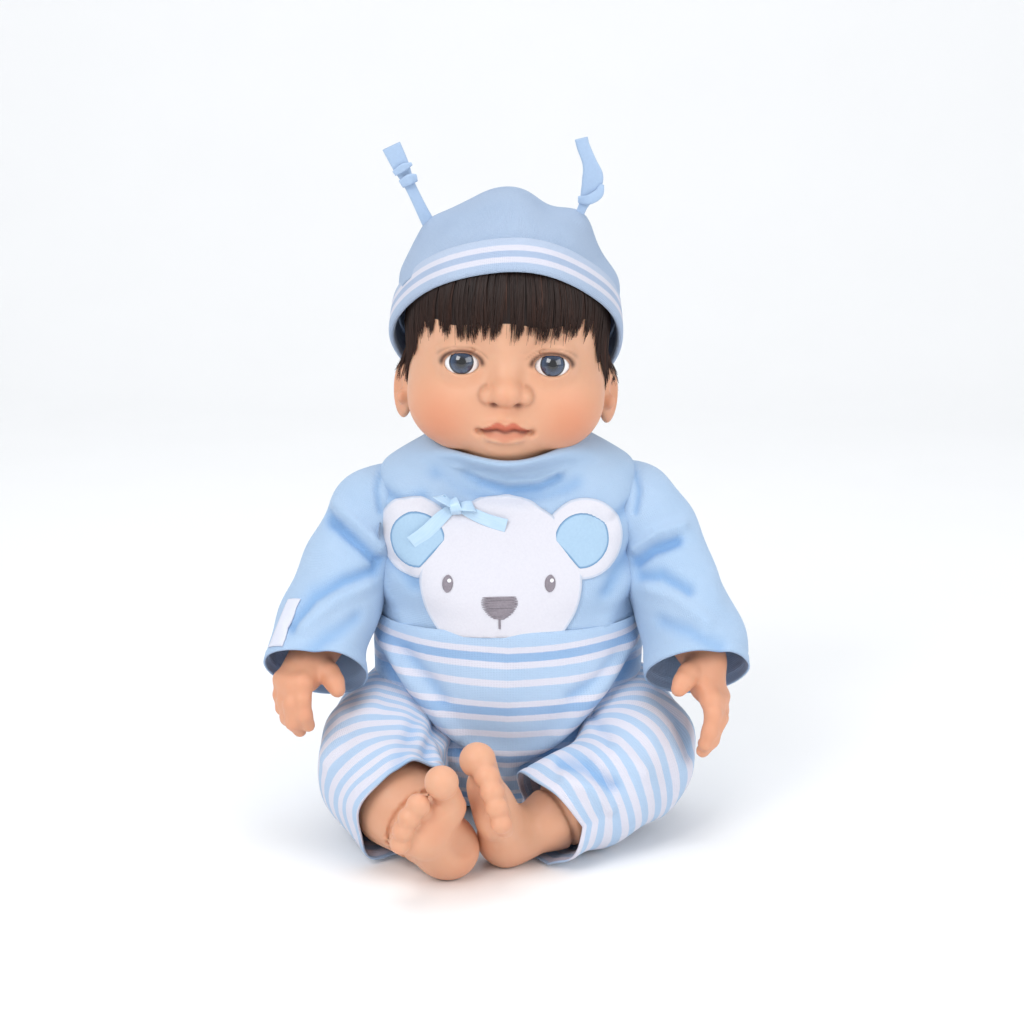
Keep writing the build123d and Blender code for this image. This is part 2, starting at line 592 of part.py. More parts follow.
save(combine([cap(HAT_CLOTH, BRIM_H)], [cap(0.0, BRIM_H - 1.0)]), "hat_crown")
under_band = cap(HAT_CLOTH + SEWN, BRIM_H - 1.0, BAND_H + 1.0)
save(combine([cap(2 * HAT_CLOTH, BRIM_H, BAND_H)], [under_band]), "hat_band")
TIE_ROOT, TIE_KNOT, TIE_TIP = (35.0, 2.0, 274.0), (45.0, 2.0, 296.0), (52.0, 2.0, 311.0)
under_tie = cap(HAT_CLOTH + SEWN, BRIM_H)
for name, side in SIDES.items():
    root, knot, tip = ((side * x, y, z) for x, y, z in (TIE_ROOT, TIE_KNOT, TIE_TIP))
    lengths = [capsule(root, knot, 3.4, 3.0), capsule(knot, tip, 3.0, 3.6)]
    save(combine([*lengths, place(ellipsoid(5.6, 4.6, 5.6), knot)], [under_tie]), f"hat_tie_{name}")

# ---- arms ----
# Limbs and cloth tubes are lists of centre and radius, from the root outwards, for the left side.
ARM = [
    ((60, 2, 153), 17.0),
    ((75, -6, 134), 17.0),
    ((85, -20, 114), 15.5),
    ((91, -37, 98), 13.0),
    ((93, -50, 84), 10.5),
]
SLEEVE = [((60, 1, 150), 25.5), ((84, -18, 115), 24.5), ((91.5, -41, 92), 22.5)]
# the way each hand points, and the way its thumb does
HANDS = {
    "left": ((0.10, -0.50, -0.86), (-0.75, -0.60, 0.26)),
    "right": ((-0.20, -0.72, -0.66), (0.85, -0.48, 0.27)),
}
PALM, PALM_REACH, KNUCKLES = (11.0, 6.4, 14.0), 10.0, 17.0
FINGERS = [(7.4, 12.5, 3.5), (2.6, 14.5, 3.7), (-2.4, 13.5, 3.6), (-7.2, 11.0, 3.2)]  # across, length, radius
THUMB = ((8, 1, 5), (16, 3, 15))
THUMB_R, THUMB_TIP_R = 4.2, 3.4
DISC_PLAY = 0.1


def mirrored(stations, side):
    """Stations drawn for the left side, moved to the side asked for."""
    return [((side * x, y, z), radius) for (x, y, z), radius in stations]


def cloth_tube(stations):
    """A cloth tube round a limb, closed over its root and open at its far end."""
    before, end = (Vector(*centre) for centre, _ in stations[-2:])
    radius = stations[-1][1]
    out = (end - before).normalized()
    mouth = tube([(tuple(end - out), radius), (tuple(end + out * 70), radius)], grow=-CLOTH)
    return combine([chain(stations)], [chain(stations, grow=-CLOTH), mouth])


def hand(side, distal, thumbward):
    """Palm, four fingers and a thumb, from the wrist along distal with the thumb towards thumbward."""
    wrist = Vector(side * ARM[-1][0][0], *ARM[-1][0][1:])
    frame = local_frame(wrist, distal, thumbward)
    palm = frame.location * place(ellipsoid(*PALM), (0, 0, PALM_REACH))
    rows = [((x, 0, KNUCKLES), (x * 1.15, 0, KNUCKLES + length), r, r * 0.85) for x, length, r in FINGERS]
    rows.append((*THUMB, THUMB_R, THUMB_TIP_R))
    digits = []
    for near, far, r_near, r_far in rows:
        start, end = (frame.from_local_coords(Vector(*point)) for point in (near, far))
        digits.append(capsule(tuple(start), tuple(end), r_near, r_far))
    return [palm, *digits]


def fixed_pin(disc_x, end_x, y, z, disc_r):
    """A pin along X with the disc on its inner end that holds it in the stuffed body."""
    outer_face = disc_x + math.copysign(DISC_T, end_x)
    return combine([rod_x(disc_x, end_x, y, z, PIN_R), rod_x(disc_x, outer_face, y, z, disc_r)])


for name, side in SIDES.items():
    inboard = block((side * (SIDE_X + 0.6), -LARGE, -LARGE), (-side * LARGE, LARGE, LARGE))
    disc_x = SIDE_X + 3.2
    bore = rod_x(side * 50, side * (disc_x + 9), 0, SHOULDER_Z, PIN_R + RUNNING)
    seat_span = (side * SIDE_X, side * (disc_x + DISC_T + DISC_PLAY))
    disc_seat = rod_x(*seat_span, 0, SHOULDER_Z, ARM_DISC_R + DISC_PLAY)
    hollow = tube(mirrored([(centre, radius - VINYL) for centre, radius in ARM[:-1]], side))
    solid_shoulder = block((-LARGE, -LARGE, SHOULDER_Z - 18), (LARGE, LARGE, LARGE))
    cuts = [combine([hollow], [solid_shoulder]), inboard, disc_seat, bore]
    save(combine([tube(mirrored(ARM, side)), *hand(side, *HANDS[name])], cuts), f"arm_{name}")
    disc_span = (side * (disc_x - DISC_PLAY), side * (disc_x + DISC_T - DISC_PLAY))
    save(combine([rod_x(*disc_span, 0, SHOULDER_Z, ARM_DISC_R)], [bore]), f"arm_disc_{name}")
    pin = fixed_pin(side * SHOULDER_DISC_X, side * (disc_x + 8.0), 0, SHOULDER_Z, ARM_DISC_R)
    save(pin, f"shoulder_pin_{name}")
    save(combine([cloth_tube(mirrored(SLEEVE, side))], [inboard]), f"sleeve_{name}")

# the blank care label sewn along the outside of the right sleeve
LABEL_W, LABEL_L, LABEL_T, LABEL_LIFT = 11.0, 24.0, 0.8, 0.4
upper, lower = (Vector(-centre[0], *centre[1:]) for centre, _ in SLEEVE[1:])
run = (lower - upper).normalized()
outward = Vector(-1, 0, 0) - run * Vector(-1, 0, 0).dot(run)
middle = (upper + lower) * 0.5 + outward.normalized() * (SLEEVE[1][1] + LABEL_LIFT)
with BuildPart() as sleeve_label:
    with BuildSketch(Plane(origin=middle, x_dir=run, z_dir=outward)):
        RectangleRounded(LABEL_L, LABEL_W, 1.0)
    extrude(amount=LABEL_T)
save(sleeve_label.part, "sleeve_label")

# ---- legs ----
HIP_BALL = (40.0, HIP[1], HIP[2])
LEG = {
    "left": [(HIP_BALL, 29.0), ((59, -42, 35), 25.5), ((42, -70, 27), 18.5), ((12, -88, 16), 11.5)],
    "right": [(HIP_BALL, 29.0), ((60, -56, 34), 25.5), ((51, -84, 26), 18.5), ((30, -99, 16), 11.5)],
}
TROUSER = {
    "left": [(HIP_BALL, 33.4), ((58, -42, 35), 30.5), ((36, -73, 27), 25.0)],
    "right": [(HIP_BALL, 33.4), ((60, -55, 34), 30.5), ((49, -85, 27), 25.0)],
}
# heel centre, heel-to-toe direction and the direction of the big toe's side, for the foot of each leg
FEET = {
    "left": ((6.0, -88.0, 13.0), (-0.20, -0.70, 0.68), (-0.27, 0.60, 0.75)),
    "right": ((-30.0, -100.0, 13.0), (-0.42, -0.70, 0.58), (0.59, 0.26, 0.76)),
}
# cross-sections of the foot from the heel to the ball: reach, half width, half thickness, offset
FOOT = [
    (-10.0, 8.0, 8.0, 0.0),
    (-4.0, 11.5, 11.0, 0.0),
    (6.0, 12.5, 11.0, 0.0),
    (20.0, 13.0, 9.0, 0.0),
    (32.0, 14.0, 7.5, 0.0),
    (38.0, 12.0, 6.0, 0.0),
]
TOES = [(9.0, 42.0, 5.6), (2.6, 40.5, 4.0), (-2.4, 39.0, 3.7), (-6.8, 37.0, 3.5), (-10.4, 34.5, 3.3)]
LEG_ROOM_Y = -62.0  # in front of this plane a foot may cross to the other side


def foot(heel, distal, medial):
    """Foot body and five toes."""
    frame = local_frame(heel, distal, medial)
    toes = [Location(frame.from_local_coords(Vector(x, 0, z))) * Sphere(r) for x, z, r in TOES]
    return [ellipse_stack(FOOT, frame=frame), *toes]


for name, side in SIDES.items():
    inboard = block((side * HIP_X, LEG_ROOM_Y, -LARGE), (-side * LARGE, LARGE, LARGE))
    disc_x = HIP_X + 2.2
    bore = rod_x(side * 10, side * (disc_x + 9), HIP[1], HIP[2], PIN_R + RUNNING)
    seat_span = (side * (HIP_X - 1), side * (disc_x + DISC_T + DISC_PLAY))
    disc_seat = rod_x(*seat_span, HIP[1], HIP[2], LEG_DISC_R + DISC_PLAY)
    hollow = chain(mirrored(LEG[name][:-1], side), grow=-VINYL)
    thigh = combine([chain(mirrored(LEG[name], side))], [hollow, inboard, disc_seat, bore])
    save(combine([thigh, *foot(*FEET[name])]), f"leg_{name}")
    disc_span = (side * disc_x, side * (disc_x + DISC_T))
    save(combine([rod_x(*disc_span, HIP[1], HIP[2], LEG_DISC_R)], [bore]), f"leg_disc_{name}")
    pin = fixed_pin(side * (HIP_DISC_X - DISC_T), side * (disc_x + 8.0), HIP[1], HIP[2], LEG_DISC_R)
    save(pin, f"hip_pin_{name}")
    save(combine([cloth_tube(mirrored(TROUSER[name], side))], [inboard]), f"trouser_leg_{name}")
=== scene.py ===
"""The looks of a seated soft-bodied baby doll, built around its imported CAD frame.

Shapes are worked out in millimetres, in the frame's axes: the doll faces -Y, its left side is +X and
Z is up. They become metres when a mesh is made.
"""

import json
import math

import bpy
import numpy as np
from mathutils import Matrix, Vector
from mathutils.bvhtree import BVHTree


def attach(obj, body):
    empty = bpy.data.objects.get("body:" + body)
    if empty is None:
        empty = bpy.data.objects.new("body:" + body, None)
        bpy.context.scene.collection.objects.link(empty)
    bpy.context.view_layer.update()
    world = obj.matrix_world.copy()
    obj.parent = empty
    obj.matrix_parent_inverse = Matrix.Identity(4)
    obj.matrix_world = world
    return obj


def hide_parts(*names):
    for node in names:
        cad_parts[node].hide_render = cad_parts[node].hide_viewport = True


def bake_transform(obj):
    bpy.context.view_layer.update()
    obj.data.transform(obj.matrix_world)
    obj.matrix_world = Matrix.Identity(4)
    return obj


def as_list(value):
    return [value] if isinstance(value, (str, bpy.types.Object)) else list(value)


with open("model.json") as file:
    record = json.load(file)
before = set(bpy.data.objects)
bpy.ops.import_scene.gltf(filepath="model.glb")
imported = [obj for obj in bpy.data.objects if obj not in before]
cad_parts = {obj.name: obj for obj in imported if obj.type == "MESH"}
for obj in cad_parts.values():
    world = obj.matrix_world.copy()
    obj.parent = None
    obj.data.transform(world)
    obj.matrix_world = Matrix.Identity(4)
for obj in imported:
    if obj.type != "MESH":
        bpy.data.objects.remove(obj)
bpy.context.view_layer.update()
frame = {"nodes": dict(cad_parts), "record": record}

MM = 0.001
SPLINE_STEPS = 24
SIDES = {"left": 1.0, "right": -1.0}
rng = np.random.default_rng(11)


# ---------------------------------------------------------------- meshes
def make_mesh(name, verts, faces, uv=None, attributes=None):
    """A smooth mesh object from points in millimetres, with an optional UV in millimetres for each point."""
    mesh = bpy.data.meshes.new(name)
    mesh.from_pydata((np.asarray(verts, float) * MM).tolist(), [], [list(map(int, f)) for f in faces])
    if uv is not None:
        layer = mesh.uv_layers.new(name="cloth")
        loops = np.empty(len(mesh.loops), np.int32)
        mesh.loops.foreach_get("vertex_index", loops)
        layer.data.foreach_set("uv", (np.asarray(uv)[loops]).astype(np.float32).ravel())
    for key, values in (attributes or {}).items():
        attribute = mesh.attributes.new(key, "FLOAT", "POINT")
        attribute.data.foreach_set("value", np.asarray(values, np.float32))
    mesh.validate()
    mesh.polygons.foreach_set("use_smooth", [True] * len(mesh.polygons))
    mesh.update()
    thing = bpy.data.objects.new(name, mesh)
    bpy.context.scene.collection.objects.link(thing)
    return thing


def grid_faces(rows, columns, closed=False):
    """Quads over a grid of points laid out row by row. closed joins the last column to the first."""
    wide = columns if closed else columns - 1
    r, c = np.meshgrid(np.arange(rows - 1), np.arange(wide), indexing="ij")
    n = (c + 1) % columns
    here, below = r * columns, (r + 1) * columns
    return np.stack([here + c, here + n, below + n, below + c], -1).reshape(-1, 4)


def smoothstep(value, low, high):
    t = np.clip((np.asarray(value, float) - low) / (high - low), 0, 1)
    return t * t * (3 - 2 * t)


def bell(value, width):
    """1 at zero, fading to nothing a few widths away."""
    return np.exp(-((np.asarray(value) / width) ** 2))


def unit(vector):
    vector = np.asarray(vector, float)
    return vector / np.linalg.norm(vector, axis=-1, keepdims=True)


def spline(points, count):
    """count points evenly along a Catmull-Rom curve through rows of numbers."""
    rows = np.asarray(points, float)
    rows = np.vstack([2 * rows[0] - rows[1], rows, 2 * rows[-1] - rows[-2]])
    t = np.linspace(0, 1, SPLINE_STEPS, endpoint=False)[:, None]
    fine = []
    for i in range(1, len(rows) - 2):
        a, b, c, d = rows[i - 1 : i + 3]
        bend = 2 * b + (c - a) * t + (2 * a - 5 * b + 4 * c - d) * t**2
        fine.append(0.5 * (bend + (3 * b - a - 3 * c + d) * t**3))
    fine = np.vstack(fine + [rows[-2:-1]])
    run = np.r_[0, np.cumsum(np.linalg.norm(np.diff(fine[:, :3], axis=0), axis=1))]
    where = np.linspace(0, run[-1], count)
    return np.stack([np.interp(where, run, column) for column in fine.T], -1), where


def frames_along(line, side):
    """Two unit normals along a line, that start near the given side and never twist."""
    tangent = unit(np.gradient(line, axis=0))
    across = np.empty_like(line)
    previous = np.asarray(side, float)
    for i, along in enumerate(tangent):
        previous = unit(previous - along * previous.dot(along))
        across[i] = previous
    return across, np.cross(tangent, across)


# ---------------------------------------------------------------- modelling clay
def surface_net(field, low, step):
    """Points and outward quads of the zero level of a sampled field that is negative inside."""
    inside = field < 0
    cell = tuple(n - 1 for n in field.shape)
    total = np.zeros(cell + (3,), np.float32)
    count = np.zeros(cell, np.int16)
    crossings = []
    for axis in range(3):
        here, there = [slice(None)] * 3, [slice(None)] * 3
        here[axis], there[axis] = slice(0, -1), slice(1, None)
        a, b = field[tuple(here)], field[tuple(there)]
        cross = inside[tuple(here)] != inside[tuple(there)]
        crossings.append((axis, cross, inside[tuple(here)]))
        t = np.where(cross, a / np.where(cross, a - b, 1), 0)
        o0, o1 = [k for k in range(3) if k != axis]
        for d0 in (0, 1):
            for d1 in (0, 1):
                window = [slice(None)] * 3
                window[o0], window[o1] = slice(d0, d0 + cell[o0]), slice(d1, d1 + cell[o1])
                c = cross[tuple(window)]
                total[..., axis] += t[tuple(window)]
                total[..., o0] += d0 * c
                total[..., o1] += d1 * c
                count += c
    mixed = count > 0
    index = np.full(cell, -1, np.int64)
    index[mixed] = np.arange(mixed.sum())
    points = low + step * (np.argwhere(mixed) + total[mixed] / count[mixed][:, None])
    quads = []
    for axis, cross, starts_inside in crossings:
        o0, o1 = (axis + 1) % 3, (axis + 2) % 3
        edges = np.argwhere(cross)
        keep = (edges[:, o0] > 0) & (edges[:, o1] > 0) & (edges[:, o0] < cell[o0]) & (edges[:, o1] < cell[o1])
        edges = edges[keep]
        corners = []
        for d0, d1 in ((-1, -1), (0, -1), (0, 0), (-1, 0)):
            at = edges.copy()
            at[:, o0] += d0
            at[:, o1] += d1
            corners.append(index[at[:, 0], at[:, 1], at[:, 2]])
        quad = np.stack(corners, -1)
        flip = ~starts_inside[edges[:, 0], edges[:, 1], edges[:, 2]]
        quad[flip] = quad[flip][:, ::-1]
        quads.append(quad)
    return points, np.vstack(quads)


def relax(points, faces, rounds):
    """Evens out a mesh without shrinking it, by a smoothing step and a step back."""
    edges = np.vstack([faces[:, [0, 1]], faces[:, [1, 2]], faces[:, [2, 3]], faces[:, [3, 0]]])
    a, b = np.r_[edges[:, 0], edges[:, 1]], np.r_[edges[:, 1], edges[:, 0]]
    degree = np.bincount(a, minlength=len(points))[:, None]
    for factor in [0.5, -0.52] * rounds:
        mean = np.stack([np.bincount(a, points[b, k], len(points)) for k in range(3)], -1) / degree
        points = points + factor * (mean - points)
    return points


def ball(centre, radii, turn=None):
    """An ellipsoid's distance and bounds. turn's rows are its own axes."""
    centre, radii = np.asarray(centre, float), np.broadcast_to(np.asarray(radii, float), 3)
    reach = np.full(3, radii.max()) if turn is not None else radii

    def distance(x, y, z):
        p = [x - centre[0], y - centre[1], z - centre[2]]
        if turn is not None:
            p = [sum(row[k] * p[k] for k in range(3)) for row in turn]
        near = np.sqrt(sum((q / r) ** 2 for q, r in zip(p, radii)))
        slope = np.sqrt(sum((q / r**2) ** 2 for q, r in zip(p, radii)))
        return near * (near - 1) / np.maximum(slope, 1e-4)

    return distance, centre - reach, centre + reach


def rod(start, end, r_start, r_end):
    """A tapered round-ended rod's distance and bounds."""
    a, b = np.asarray(start, float), np.asarray(end, float)
    run = b - a
    reach = max(r_start, r_end)

    def distance(x, y, z):
        t = ((x - a[0]) * run[0] + (y - a[1]) * run[1] + (z - a[2]) * run[2]) / run.dot(run)
        t = np.clip(t, 0, 1)
        off = [q - a[k] - t * run[k] for k, q in enumerate((x, y, z))]
        return np.sqrt(off[0] ** 2 + off[1] ** 2 + off[2] ** 2) - (r_start + (r_end - r_start) * t)

    return distance, np.minimum(a, b) - reach, np.maximum(a, b) + reach


class Clay:
    """A solid built up from soft-edged additions and cuts on a grid of distances."""

    FAR = 60.0
    HARD_MARGIN = 12.0

    def __init__(self, low, high, step):
        self.low, self.step = np.asarray(low, float), step
        size = np.ceil((np.asarray(high) - self.low) / step).astype(int) + 1
        self.axes = [self.low[k] + step * np.arange(size[k]) for k in range(3)]
        self.field = np.full(tuple(size), self.FAR, np.float32)

    def _window(self, low, high):
        cut = []
        for axis, a, b in zip(self.axes, low, high):
            cut.append(slice(max(np.searchsorted(axis, a) - 1, 0), np.searchsorted(axis, b) + 1))
        return tuple(cut), np.ix_(*[axis[c] for axis, c in zip(self.axes, cut)])

    def add(self, shape, blend=0.0):
        distance, low, high = shape
        margin = blend + 3 * self.step if blend else self.HARD_MARGIN
        cut, (x, y, z) = self._window(low - margin, high + margin)
        old, new = self.field[cut], distance(x, y, z)
        overlap = np.maximum(blend - np.abs(old - new), 0) / max(blend, 1e-6)
        self.field[cut] = np.minimum(old, new) - overlap**2 * blend / 4

    def cut(self, shape, blend):
        distance, low, high = shape
        margin = blend + 3 * self.step
        cut, (x, y, z) = self._window(low - margin, high + margin)
        old, new = self.field[cut], distance(x, y, z)
        overlap = np.maximum(blend - np.abs(old + new), 0) / blend
        self.field[cut] = np.maximum(old, -new) + overlap**2 * blend / 4

    def mesh(self):
        points, faces = surface_net(self.field, self.low, self.step)
        return relax(points, faces, 2), faces


# ---------------------------------------------------------------- node materials
def new_material(name):
    material = bpy.data.materials.new(name)
    material.use_nodes = True
    tree = material.node_tree
    return material, tree, tree.nodes["Principled BSDF"]


def node(tree, kind, inputs=None, **settings):
    """A shader node with its settings, and its inputs given as values or other nodes' outputs."""
    made = tree.nodes.new(kind)
    for key, value in settings.items():
        setattr(made, key, value)
    for key, value in (inputs or {}).items():
        if isinstance(value, bpy.types.NodeSocket):
            tree.links.new(value, made.inputs[key])
        else:
            made.inputs[key].default_value = value
    return made


def coordinates(tree):
    """Object coordinates in millimetres."""
    where = node(tree, "ShaderNodeTexCoord").outputs["Object"]
    return node(tree, "ShaderNodeVectorMath", {0: where, 1: (1 / MM,) * 3}, operation="MULTIPLY").outputs[0]


def noise_of(tree, where, scale, detail=3.0, rough=0.5):
    settings = {"Vector": where, "Scale": scale, "Detail": detail, "Roughness": rough}
    return node(tree, "ShaderNodeTexNoise", settings).outputs["Fac"]


def ramp(tree, factor, stops):
    """A colour ramp from (place, colour) stops."""
    made = node(tree, "ShaderNodeValToRGB", {"Fac": factor})
    elements = made.color_ramp.elements
    while len(elements) < len(stops):
        elements.new(0.5)
    for element, (place, colour) in zip(elements, stops):
        element.position = place
        element.color = (*colour, 1)
    return made.outputs["Color"]


def mix(tree, factor, a, b, mode="MIX"):
    made = node(tree, "ShaderNodeMix", data_type="RGBA", blend_type=mode)
    for socket, value in ((0, factor), (6, a), (7, b)):
        if isinstance(value, bpy.types.NodeSocket):
            tree.links.new(value, made.inputs[socket])
        else:
            made.inputs[socket].default_value = value if socket == 0 else (*value[:3], 1)
    return made.outputs[2]


def math_node(tree, operation, a, b=0.0, c=0.0):
    return node(tree, "ShaderNodeMath", {0: a, 1: b, 2: c}, operation=operation).outputs[0]


def scaled(tree, value, factor, offset=0.0):
    return math_node(tree, "MULTIPLY_ADD", value, factor, offset)


def attribute(tree, key):
    """One number per point, stored in the mesh under this name."""
    return node(tree, "ShaderNodeAttribute", attribute_name=key).outputs["Fac"]


def between(tree, value, low, high):
    """Goes from 0 where the value is low to 1 where it is high."""
    return node(tree, "ShaderNodeMapRange", {"Value": value, "From Min": low, "From Max": high}).outputs[0]


def settle(tree, shader, settings):
    """Gives the shader's sockets their values or other nodes' outputs, by name."""
    for key, value in settings.items():
        if isinstance(value, bpy.types.NodeSocket):
            tree.links.new(value, shader.inputs[key])
        else:
            shader.inputs[key].default_value = value


def linear(red, green, blue):
    """A linear colour from the 0 to 255 values that a screen shows."""
    shown = [c / 255 for c in (red, green, blue)]
    return tuple(c / 12.92 if c < 10 / 255 else ((c + 0.055) / 1.055) ** 2.4 for c in shown)


def bump(tree, height, strength, distance, under=None):
    made = node(tree, "ShaderNodeBump", {"Height": height, "Strength": strength, "Distance": distance})
    if under is not None:
        tree.links.new(under, made.inputs["Normal"])
    return made.outputs["Normal"]


# ---------------------------------------------------------------- head
EYE = np.array([20.6, -38.0, 223.9])
EYE_R = 10.0
LID_R = 11.6
LID_HALF, LID_UP, LID_DOWN = 7.9, 5.1, 4.4
LID_RAISE = 0.2
# about half the opening's width, so that the distance outside it comes out in millimetres
LID_SLOPE = 5.2
MOUTH_Z, MOUTH_HALF = 194.2, 11.6
EAR_SET_BACK = 0.35
HEAD_LEAN = math.radians(1.6)
NECK_PIVOT = np.array([0.0, 0.0, 178.0])
HEAD_SHIFT = np.array([-1.6, 0.0, 0.0])


def leaned(points):
    """The head's slight lean towards its left shoulder, for points in any arrangement."""
    p = np.asarray(points, float) - NECK_PIVOT
    c, s = math.cos(HEAD_LEAN), math.sin(HEAD_LEAN)
    turned = np.stack([p[..., 0] * c + p[..., 2] * s, p[..., 1], p[..., 2] * c - p[..., 0] * s], -1)
    return turned + NECK_PIVOT + HEAD_SHIFT


def lid_edge(u, v):
    """How far outside the opening between the lids a place is, across and up from the eye's middle."""
    lid = np.where(v > 0, LID_UP, LID_DOWN)
    return (np.sqrt((u / LID_HALF) ** 2 + (v / lid) ** 2) - 1) * LID_SLOPE


def eye_opening(side):
    """The almond between the lids, cut from the front back to the middle of the eyeball."""
    centre = EYE * (side, 1, 1)

    def distance(x, y, z):
        return np.maximum(lid_edge(x - centre[0], z - centre[2] - LID_RAISE) + 0 * y, y - centre[1])

    return distance, centre - (10, 16, 9), centre + (10, 2, 9)


def mouth_line(x):
    """Height of the line between the lips."""
    return MOUTH_Z + 1.0 * bell(np.abs(x) - 4.2, 2.8) - 0.6 * (x / MOUTH_HALF) ** 2


def head_clay():
    clay = Clay((-60, -66, 154), (60, 66, 296), 0.9)

    def both(stroke, centre, radii, blend):
        """A lump or a hollow on each side of the face."""
        for side in SIDES.values():
            stroke(ball((side * centre[0], *centre[1:]), radii), blend)

    # skull, jaw, forehead, cheeks, chin, neck and the muzzle round the mouth
    clay.add(ball((0, 6, 238), (47.5, 55, 52.5)))
    clay.add(ball((0, -7, 207.5), (44.3, 41.5, 31.5)), 14)
    clay.add(ball((0, -20, 251), (36, 31, 25)), 16)
    both(clay.add, (22.3, -25, 201.6), (21.0, 20, 18.6), 14)
    clay.add(ball((0, -22, 192), (29, 21, 13.5)), 8)
    clay.add(ball((0, -30.5, 181.2), (13.5, 11.5, 8.5)), 8)
    clay.add(rod((0, 2, 150), (0, 2, 190), 21.5, 21.5), 8)
    clay.add(ball((0, -38.5, 196), (16, 13.5, 13)), 9)
    # each eye's socket, lids, opening and the crease above it
    for side in SIDES.values():
        eye = EYE * (side, 1, 1)
        clay.cut(ball(eye + (side * -0.5, -15, 0.5), (13, 7.2, 9)), 9)
        clay.add(ball(eye, 11.2), 4)
        clay.cut(eye_opening(side), 0.9)
        crease = []
        for u, v in ((-8.4, 4.6), (-4.5, 7.1), (0.5, 8.0), (5, 7.0), (8.6, 4.2)):
            crease.append(eye + (side * u, -math.sqrt(max(LID_R**2 - u * u - v * v, 9)), v))
        for start, end in zip(crease, crease[1:]):
            clay.cut(rod(start, end, 0.45, 0.45), 1.4)
    # nose: bridge, tip, wings and nostrils, and the groove under it
    clay.add(rod((0, -44.0, 224), (0, -52.3, 213.5), 3.2, 5.0), 7)
    clay.add(ball((0, -53.7, 212.2), (6.8, 6.6, 5.8)), 3)
    for side in SIDES.values():
        clay.add(ball((side * 8.2, -49.6, 210.6), (3.8, 5.2, 3.9)), 2.0)
        clay.cut(ball((side * 5.4, -53.4, 206.4), (2.5, 3.6, 1.5)), 0.9)
    clay.cut(rod((0, -56.5, 205.0), (0, -53.4, 200.0), 1.1, 1.4), 2.4)
    # lips, the line between them, the corners and the dip under the lower lip
    both(clay.add, (3.9, -50.2, MOUTH_Z + 3.0), (5.9, 4.1, 2.5), 1.8)
    clay.add(ball((0, -49.8, MOUTH_Z - 3.4), (8.8, 5.0, 3.4)), 2.2)
    line = [(-11.6, -47.2), (-8, -51.0), (-4.2, -53.4), (0, -54.6), (4.2, -53.4), (8, -51.0), (11.6, -47.2)]
    for (x0, y0), (x1, y1) in zip(line, line[1:]):
        clay.cut(rod((x0, y0, mouth_line(x0)), (x1, y1, mouth_line(x1)), 0.75, 0.75), 1.3)
    both(clay.cut, (12.3, -48.8, MOUTH_Z - 0.8), (1.4, 2.4, 1.4), 2.6)
    clay.cut(rod((-5, -51.0, MOUTH_Z - 8.4), (5, -51.0, MOUTH_Z - 8.4), 1.5, 1.5), 5)
    clay.cut(ball((0, -55.5, MOUTH_Z + 0.4), (3.2, 2.2, 0.9)), 1.0)
    # ears
    c, s = math.cos(EAR_SET_BACK), math.sin(EAR_SET_BACK)
    for side in SIDES.values():
        lean = np.array([[c, -side * s, 0], [side * s, c, 0], [0, 0, 1]])
        clay.add(ball((side * 48.8, 5.5, 201.5), (4.0, 8.8, 13.8), lean), 3)
        clay.cut(ball((side * 53.0, 2.5, 203), (3.6, 5.2, 9.5), lean), 2.0)
        clay.add(ball((side * 49.5, -1.5, 199.5), (2.4, 2.6, 3.4)), 2.0)
    return clay


def face_paint(p):
    """Where the blush, lips, lid lines and shaded hollows go, as one number per point each."""
    x, y, z = np.abs(p[:, 0]), p[:, 1], p[:, 2]
    front = smoothstep(-y, 30, 40)
    line = mouth_line(p[:, 0])
    arch = np.clip(1 - (x / 11.8) ** 2, 0, 1)
    upper = line + 4.2 * arch**0.8 - 0.8 * bell(x, 1.8)
    lower = line - 4.7 * np.clip(1 - (x / 10.8) ** 2, 0, 1) ** 0.75
    above = smoothstep(z, line - 0.5, line + 0.5) * smoothstep(-z, -upper - 0.5, -upper + 0.6)
    below = smoothstep(z, lower - 0.6, lower + 0.8) * smoothstep(-z, -line - 0.2, -line + 0.5)
    lips = front * (x < 12) * np.maximum(0.5 * below, above)
    nostril = np.sqrt((x - 5.4) ** 2 + ((z - 206.8) * 1.5) ** 2)
    wing = np.abs(np.hypot(x - 8.0, z - 210.8) - 4.7) + 3 * (x < 8.5)
    shade = np.maximum(bell(z - line, 0.85) * smoothstep(-x, -13.0, -9.5), 0.26 * bell(wing, 0.8))
    shade = front * np.maximum(shade, bell(nostril, 1.9))
    v = z - EYE[2] - LID_RAISE
    edge = lid_edge(x - EYE[0], v)
    before_eye = y < EYE[1] - 2
    liner = front * bell(edge - 1.0, 0.85) * smoothstep(v, -2.0, 0.8) * before_eye
    liner = np.maximum(liner, 0.35 * front * bell(edge, 0.5) * before_eye)
    fold = front * bell(edge - 3.0, 0.5) * smoothstep(v, 1.8, 4.2) * 0.3
    cheek = bell(np.sqrt((x - 31) ** 2 + ((z - 196) * 0.9) ** 2), 15) * smoothstep(-y, 0, 25)
    nose, chin = (bell(np.sqrt(x**2 + (z - height) ** 2), 9) * front for height in (209, 178))
    ear = 0.5 * smoothstep(x, 46, 50) * smoothstep(-z, -216, -206)
    blush = np.clip(cheek + (0.45 * nose + 0.15 * chin) + ear, 0, 1)
    return {"blush": blush, "lips": lips, "shade": shade, "liner": np.maximum(liner, fold)}


